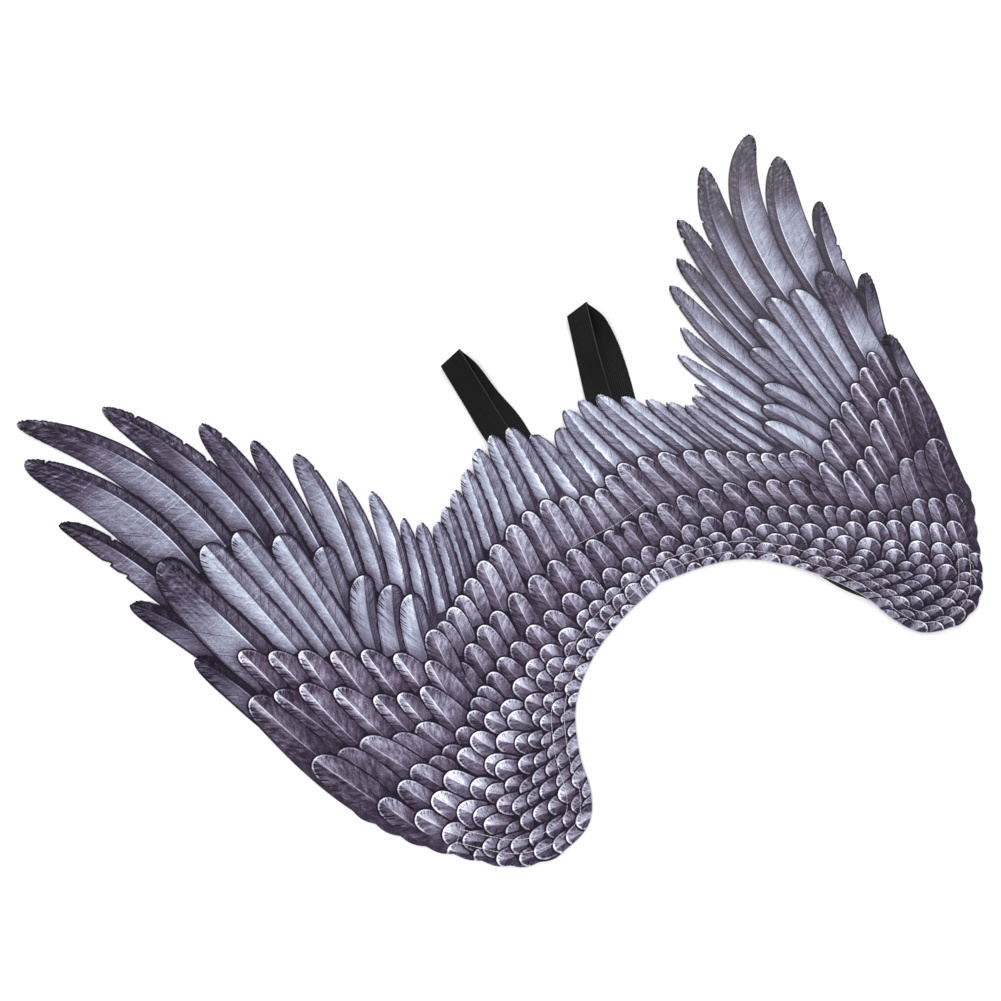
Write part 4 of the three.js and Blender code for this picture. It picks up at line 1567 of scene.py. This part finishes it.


# %% [markdown]
# ## Ribs of the elastic
# Woven elastic has fine ribs along its length, with the rubber inside them. The tree sinks the ribbon
# between the ribs along its normals, by a rule of the stored distance across. The finish paints a highlight
# on the crests of the ribs with shade between them, paints shade on the inside of the loop, where little
# light gets in, and draws a pale line along the raised edge of the upper leg.

# %% Elastic ribs
RIBS = {"Pitch": 2.5, "Depth": 0.3}
CROSS_THREADS = 0.9
PALE_EDGE = {"from": 1.3, "to": 0.5, "strength": 0.8, "loop_shading": 0.004}
RIB_HIGHLIGHT_AND_WEAR = {"rib": 0.75, "thread": 0.1, "wear": 0.4}
LOOP_SHADE_DEPTH = 0.9


def rib_tree():
    growth = Growth("elastic_ribs", {
        "Geometry": "NodeSocketGeometry", "Pitch": "NodeSocketFloat", "Depth": "NodeSocketFloat",
        "Material": "NodeSocketMaterial",
    })
    across = growth.add("GeometryNodeInputNamedAttribute", {"data_type": "FLOAT"}, {"Name": "across"})
    turns = growth.math("MULTIPLY", growth.math("DIVIDE", across, growth.inputs["Pitch"]), math.pi)
    rise = growth.math("ABSOLUTE", growth.math("SINE", turns))
    sink = growth.math("MULTIPLY", growth.math("SUBTRACT", rise, 1.0), growth.inputs["Depth"])
    metres = growth.math("MULTIPLY", sink, MM)
    normal = growth.add("GeometryNodeInputNormal")
    move = growth.add("ShaderNodeVectorMath", {"operation": "SCALE"}, {0: normal, "Scale": metres})
    growth.end(growth.add("GeometryNodeSetPosition", None, {0: growth.inputs["Geometry"], "Offset": move}))
    return growth


def elastic_finish():
    """Black elastic: matt ribs with a little sheen, a painted highlight on their crests and painted shade
    between them, fine cross threads with a painted highlight, and painted shade inside the loop.
    """
    f = Finish("black_elastic", roughness=0.62, specular=0.12)
    across = f.attribute("across", 1)
    along = f.attribute("along", 1)
    painted_loop_shade = f.attribute("inside", 1)
    # Painted highlight on the crests of the ribs and of the cross threads, with painted shade between the
    # ribs; the wear is random tone.
    rib = abs((across * (math.pi / RIBS["Pitch"])).math("SINE"))
    thread = abs((along * (math.pi / CROSS_THREADS)).math("SINE"))
    wear = f.noise(f.join(across * 0.5, along * 0.05), 0.35, 3.0)
    # A pale line along the raised edge of the upper leg, left out where the loop is shaded.
    at_edge = across.smooth(ELASTIC_WIDTH - PALE_EDGE["from"], ELASTIC_WIDTH - PALE_EDGE["to"])
    pale_edge = at_edge * painted_loop_shade.smooth(PALE_EDGE["loop_shading"], 0.0)
    # Painted shade inside the loop darkens the lower leg.
    light = weighted(RIB_HIGHLIGHT_AND_WEAR, rib=rib * rib, thread=thread, wear=wear) * (1 - LOOP_SHADE_DEPTH * painted_loop_shade)
    ribbed = f.mix(light, screen(0, 0, 0), screen(26, 26, 26))
    f.color(PALE_EDGE["strength"] * pale_edge, ribbed, screen(62, 62, 62))
    f.relief(thread, distance=0.00012, strength=0.6)
    return f.material


elastic = elastic_finish()
ribs = rib_tree()
straps, strap_lengths = {}, {}
for node, legs in STRAPS.items():
    ribbon, strap_lengths[node] = strap_ribbon(node + "_elastic", legs, elastic)
    straps[node] = ribs.run(ribbon, {**RIBS, "Material": elastic})
print("elastic lengths, mm:", {node: round(length) for node, length in strap_lengths.items()})

# %% [markdown]
# ## Tape and patch behind the cloth
# A black woven tape strengthens the neck edge behind the cloth and slips out past it at one place, and a
# rectangle of cloth behind the middle holds the ends of the loops. Both lie flat on the floor.

# %% Tape and patch
TAPE_COLUMNS = 9
PATCH_STEP = 4.0
BONE = {"pitch": 1.2, "squeeze": 0.3, "turn": 3.0, "reach": 2}
TAPE_HIGHLIGHT_AND_WEAR = {"base": 0.5, "bone": 0.3, "wear": 0.6}


def tape_strip(material):
    """The tape behind the neck edge, which slips out past it where the edge is lifted."""
    insets = TAPE["inset"] + TAPE["width"] * np.linspace(1, 0, TAPE_COLUMNS)

    def side_points(side, inset):
        slip = TAPE["slip"] * edge_lift(laid(inset_points(tape_shares[1:], inset), side))
        return laid(inset_points(tape_shares[1:], inset - slip), side)

    lines = [np.vstack([side_points(-1, inset)[::-1], side_points(1, inset)]) for inset in insets]
    points = np.stack(lines, 1).reshape(-1, 2)
    low = np.column_stack([points, np.zeros(len(points))])
    rows = len(lines[0])
    strip, *_ = closed_sheet("edge_tape_webbing", low + (0, 0, TAPE["thick"]), low,
                             grid_faces(rows, TAPE_COLUMNS), [material])
    across = np.tile(np.linspace(0, TAPE["width"], TAPE_COLUMNS), rows)
    set_attribute(strip.data, "across", "FLOAT", "POINT", np.tile(across, 2))
    middle_line = lines[TAPE_COLUMNS // 2]
    return strip, np.linalg.norm(np.diff(middle_line, axis=0), axis=1).sum()


def patch_sheet(material):
    xs = np.linspace(-PATCH["width"] / 2, PATCH["width"] / 2, int(PATCH["width"] / PATCH_STEP) + 1)
    ys = np.linspace(PATCH["low"], PATCH["high"], int((PATCH["high"] - PATCH["low"]) / PATCH_STEP) + 1)
    low = np.array([(x, y, 0) for y in ys for x in xs])
    sheet, *_ = closed_sheet("back_patch_cloth", low + (0, 0, PATCH["thick"]), low,
                             grid_faces(len(ys), len(xs)), [material])
    return sheet


def tape_finish():
    """Black tape with a herringbone of fine ribs, with a painted highlight on their crests and random wear.
    """
    f = Finish("black_tape", roughness=0.85)
    x, y, _ = f.split(f.place_mm())
    across = f.attribute("across", 1)
    zigzag = (across * BONE["squeeze"]).math("PINGPONG", BONE["turn"]) * BONE["reach"]
    bone = ((x + y + zigzag) * (math.pi / BONE["pitch"])).math("SINE")
    wear = f.noise(f.join(x, y), 0.08, 3.0)
    # The herringbone is a painted highlight that follows the bump of the ribs; the wear is random tone.
    f.color(weighted(TAPE_HIGHLIGHT_AND_WEAR, bone=bone, wear=wear), screen(14, 14, 15), screen(40, 40, 43))
    f.relief(bone, distance=0.0001, strength=0.6)
    return f.material


def patch_finish():
    """Pale plain cloth, a little uneven."""
    f = Finish("patch_cloth", roughness=0.9)
    place = f.place_mm()
    f.color(f.noise(place, 0.05, 3.0) + 0.5, screen(168, 166, 176), screen(204, 203, 210))
    f.relief(weave_height(f, place), distance=0.0002, strength=0.4)
    return f.material


tape, tape_length = tape_strip(tape_finish())
patch = patch_sheet(patch_finish())
print("tape length, mm:", round(tape_length))

# %% [markdown]
# ## Stitching
# Two lines of pale thread follow the neck edge through the tape and meet in a bar at the wrist, and a
# rectangle holds the patch. The lines are open paths that lie just above the cloth.

# %% Stitch paths
STITCH = {"Pitch": 3.0, "Length": 3.5, "Thread": 0.6, "Wander": 0.1}
STITCH_LINES = (10.0, 22.0)
STITCH_START = 0.004
STITCH_END = {-1: 0.61, 1: 0.632}
STITCH_STATIONS = 260
STITCH_RISE = 0.35
SEAM_CLEAR = 0.6
PATCH_LINE = table("x y", (-51, -223), (-53, -165), (0, -164), (50.5, -156), (56, -217))
PATH_STEP = 2.0


def on_cloth(places):
    """Points just above the cloth, at signed pattern places."""
    dip = SEAM_DIP["depth"] * np.exp(-(places[:, 0] / SEAM_DIP["width"]) ** 2)
    height = np.maximum(drape(places) - dip, 0) + CLOTH + STITCH["Thread"] * STITCH_RISE
    return np.column_stack([places, height])


def straight(a, b):
    """Even points from one place to another."""
    count = max(2, int(np.linalg.norm(np.subtract(b, a)) / PATH_STEP))
    return np.array([np.array(a) + (np.array(b) - a) * k / count for k in range(count + 1)])


def stitch_paths(side):
    """Paths of the stitching on one wing."""
    shares = np.linspace(STITCH_START, STITCH_END[side], STITCH_STATIONS)
    near, far = (laid(inset_points(shares, inset), side) for inset in STITCH_LINES)
    paths = [near, far, straight(near[-1], far[-1])]
    corners = [(p["x"], p["y"]) for p in PATCH_LINE]
    frame_line = np.vstack([straight(a, b) for a, b in zip(corners, corners[1:])])
    mine = frame_line[frame_line[:, 0] * side > SEAM_CLEAR]
    return paths + [mine]


def path_piece(name, paths):
    """Open paths as the edges of one mesh."""
    points, edges = [], []
    for path in paths:
        edges += [(len(points) + k, len(points) + k + 1) for k in range(len(path) - 1)]
        points += to_part(on_cloth(path)).tolist()
    mesh = bpy.data.meshes.new(name)
    mesh.from_pydata(points, edges, [])
    piece = bpy.data.objects.new(name, mesh)
    bpy.context.scene.collection.objects.link(piece)
    return piece


# %% [markdown]
# ## Threads along the paths
# A tree resamples each path at an even pitch and sets a thread on every point: a slim ball along the path.
# A fixed seed turns and stretches each a little, because no seam is quite even.

# %% Stitch tree
STITCH_SEED = 5
STRETCH = (0.75, 1.1)


def stitch_tree():
    sizes = {name: "NodeSocketFloat" for name in STITCH}
    growth = Growth("running_stitch", {
        "Geometry": "NodeSocketGeometry", **sizes, "Seed": "NodeSocketInt", "Material": "NodeSocketMaterial"})

    def metres(name):
        return growth.math("MULTIPLY", growth.inputs[name], MM)

    curve = growth.add("GeometryNodeMeshToCurve", None, {0: growth.inputs["Geometry"]})
    even = growth.add("GeometryNodeResampleCurve", {"mode": "LENGTH"}, {0: curve, "Length": metres("Pitch")})
    half = growth.math("DIVIDE", metres("Length"), 2.0)
    thick = growth.math("DIVIDE", metres("Thread"), 2.0)
    ball = growth.add("GeometryNodeMeshUVSphere", None, {"Segments": 6, "Rings": 5, "Radius": 1.0})
    size = growth.add("ShaderNodeCombineXYZ", None, {0: half, 1: thick, 2: thick})
    thread = growth.add("GeometryNodeTransform", None, {0: ball, "Scale": size})
    facing = growth.add("FunctionNodeAlignRotationToVector", {"axis": "X"},
                        {"Vector": growth.add("GeometryNodeInputTangent")})
    wander = growth.inputs["Wander"]
    back = growth.math("MULTIPLY", wander, -1.0)
    turn = growth.add("FunctionNodeRandomValue", {"data_type": "FLOAT"},
                      {2: back, 3: wander, "Seed": growth.inputs["Seed"]}, output=1)
    swing = growth.add("FunctionNodeAxisAngleToRotation", None, {"Axis": (0, 0, 1), "Angle": turn})
    aim = growth.add("FunctionNodeRotateRotation", None, {0: facing, 1: swing})
    stretch = growth.add("FunctionNodeRandomValue", {"data_type": "FLOAT"},
                         {2: STRETCH[0], 3: STRETCH[1], "Seed": growth.inputs["Seed"]}, output=1)
    growth.end(growth.add("GeometryNodeInstanceOnPoints", None,
                          {0: even, "Instance": thread, "Rotation": aim, "Scale": stretch}))
    return growth


def thread_finish():
    """Pale twisted thread."""
    f = Finish("pale_thread", roughness=0.6)
    twist = f.noise(f.place_mm(), 0.9, 2.0) + 0.5
    f.color(twist, screen(176, 170, 174), screen(238, 233, 233))
    return f.material


thread = thread_finish()
stitcher = stitch_tree()
stitching = {}
for side, name in ((-1, "left_stitching"), (1, "right_stitching")):
    stitch_values = {**STITCH, "Seed": STITCH_SEED + side, "Material": thread}
    stitching[side] = stitcher.run(path_piece(name, stitch_paths(side)), stitch_values)

# %% [markdown]
# ## Fixed to the frame
# Every piece rides on the one body and stands for its solid, which is hidden. The size each sheet was cut
# to is worked out, the wings from the pattern, the tape and the elastic from their width and the length of
# their middle, and passed to join_frame, which does not use it.

# %% Fix to the frame
wing_flat = tuple((flat.max(0) - flat.min(0)) * MM)
TAPE_FLAT = (TAPE["width"] * MM, tape_length * MM)
PATCH_FLAT = (PATCH["width"] * MM, (PATCH["high"] - PATCH["low"]) * MM)


def join_frame(piece, node, slot, **cut):
    """Fix a sheet to the frame in the place of a solid."""
    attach(piece, "root")
    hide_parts(node)


for thread_line in stitching.values():
    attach(thread_line, "root")
under_wings = [tape, patch, *straps.values()]
for wing, node, side in ((left_wing, "left_wing", -1), (right_wing, "right_wing", 1)):
    join_frame(wing, node, "printed_cloth", flat=wing_flat, held="laid", rests_on=under_wings,
               area=area_mm2 * MM * MM, with_pieces=[stitching[side]])
join_frame(tape, "edge_tape", "black_tape", flat=TAPE_FLAT, held="laid")
join_frame(patch, "back_patch", "printed_cloth", flat=PATCH_FLAT, held="laid")
for node, strap in straps.items():
    strap_flat = (ELASTIC_WIDTH * MM, strap_lengths[node] * MM)
    join_frame(strap, node, "black_elastic", flat=strap_flat, held="folded", rests_on=[patch])
print("pieces in the frame:", len(straps) + len(stitching) + 4)
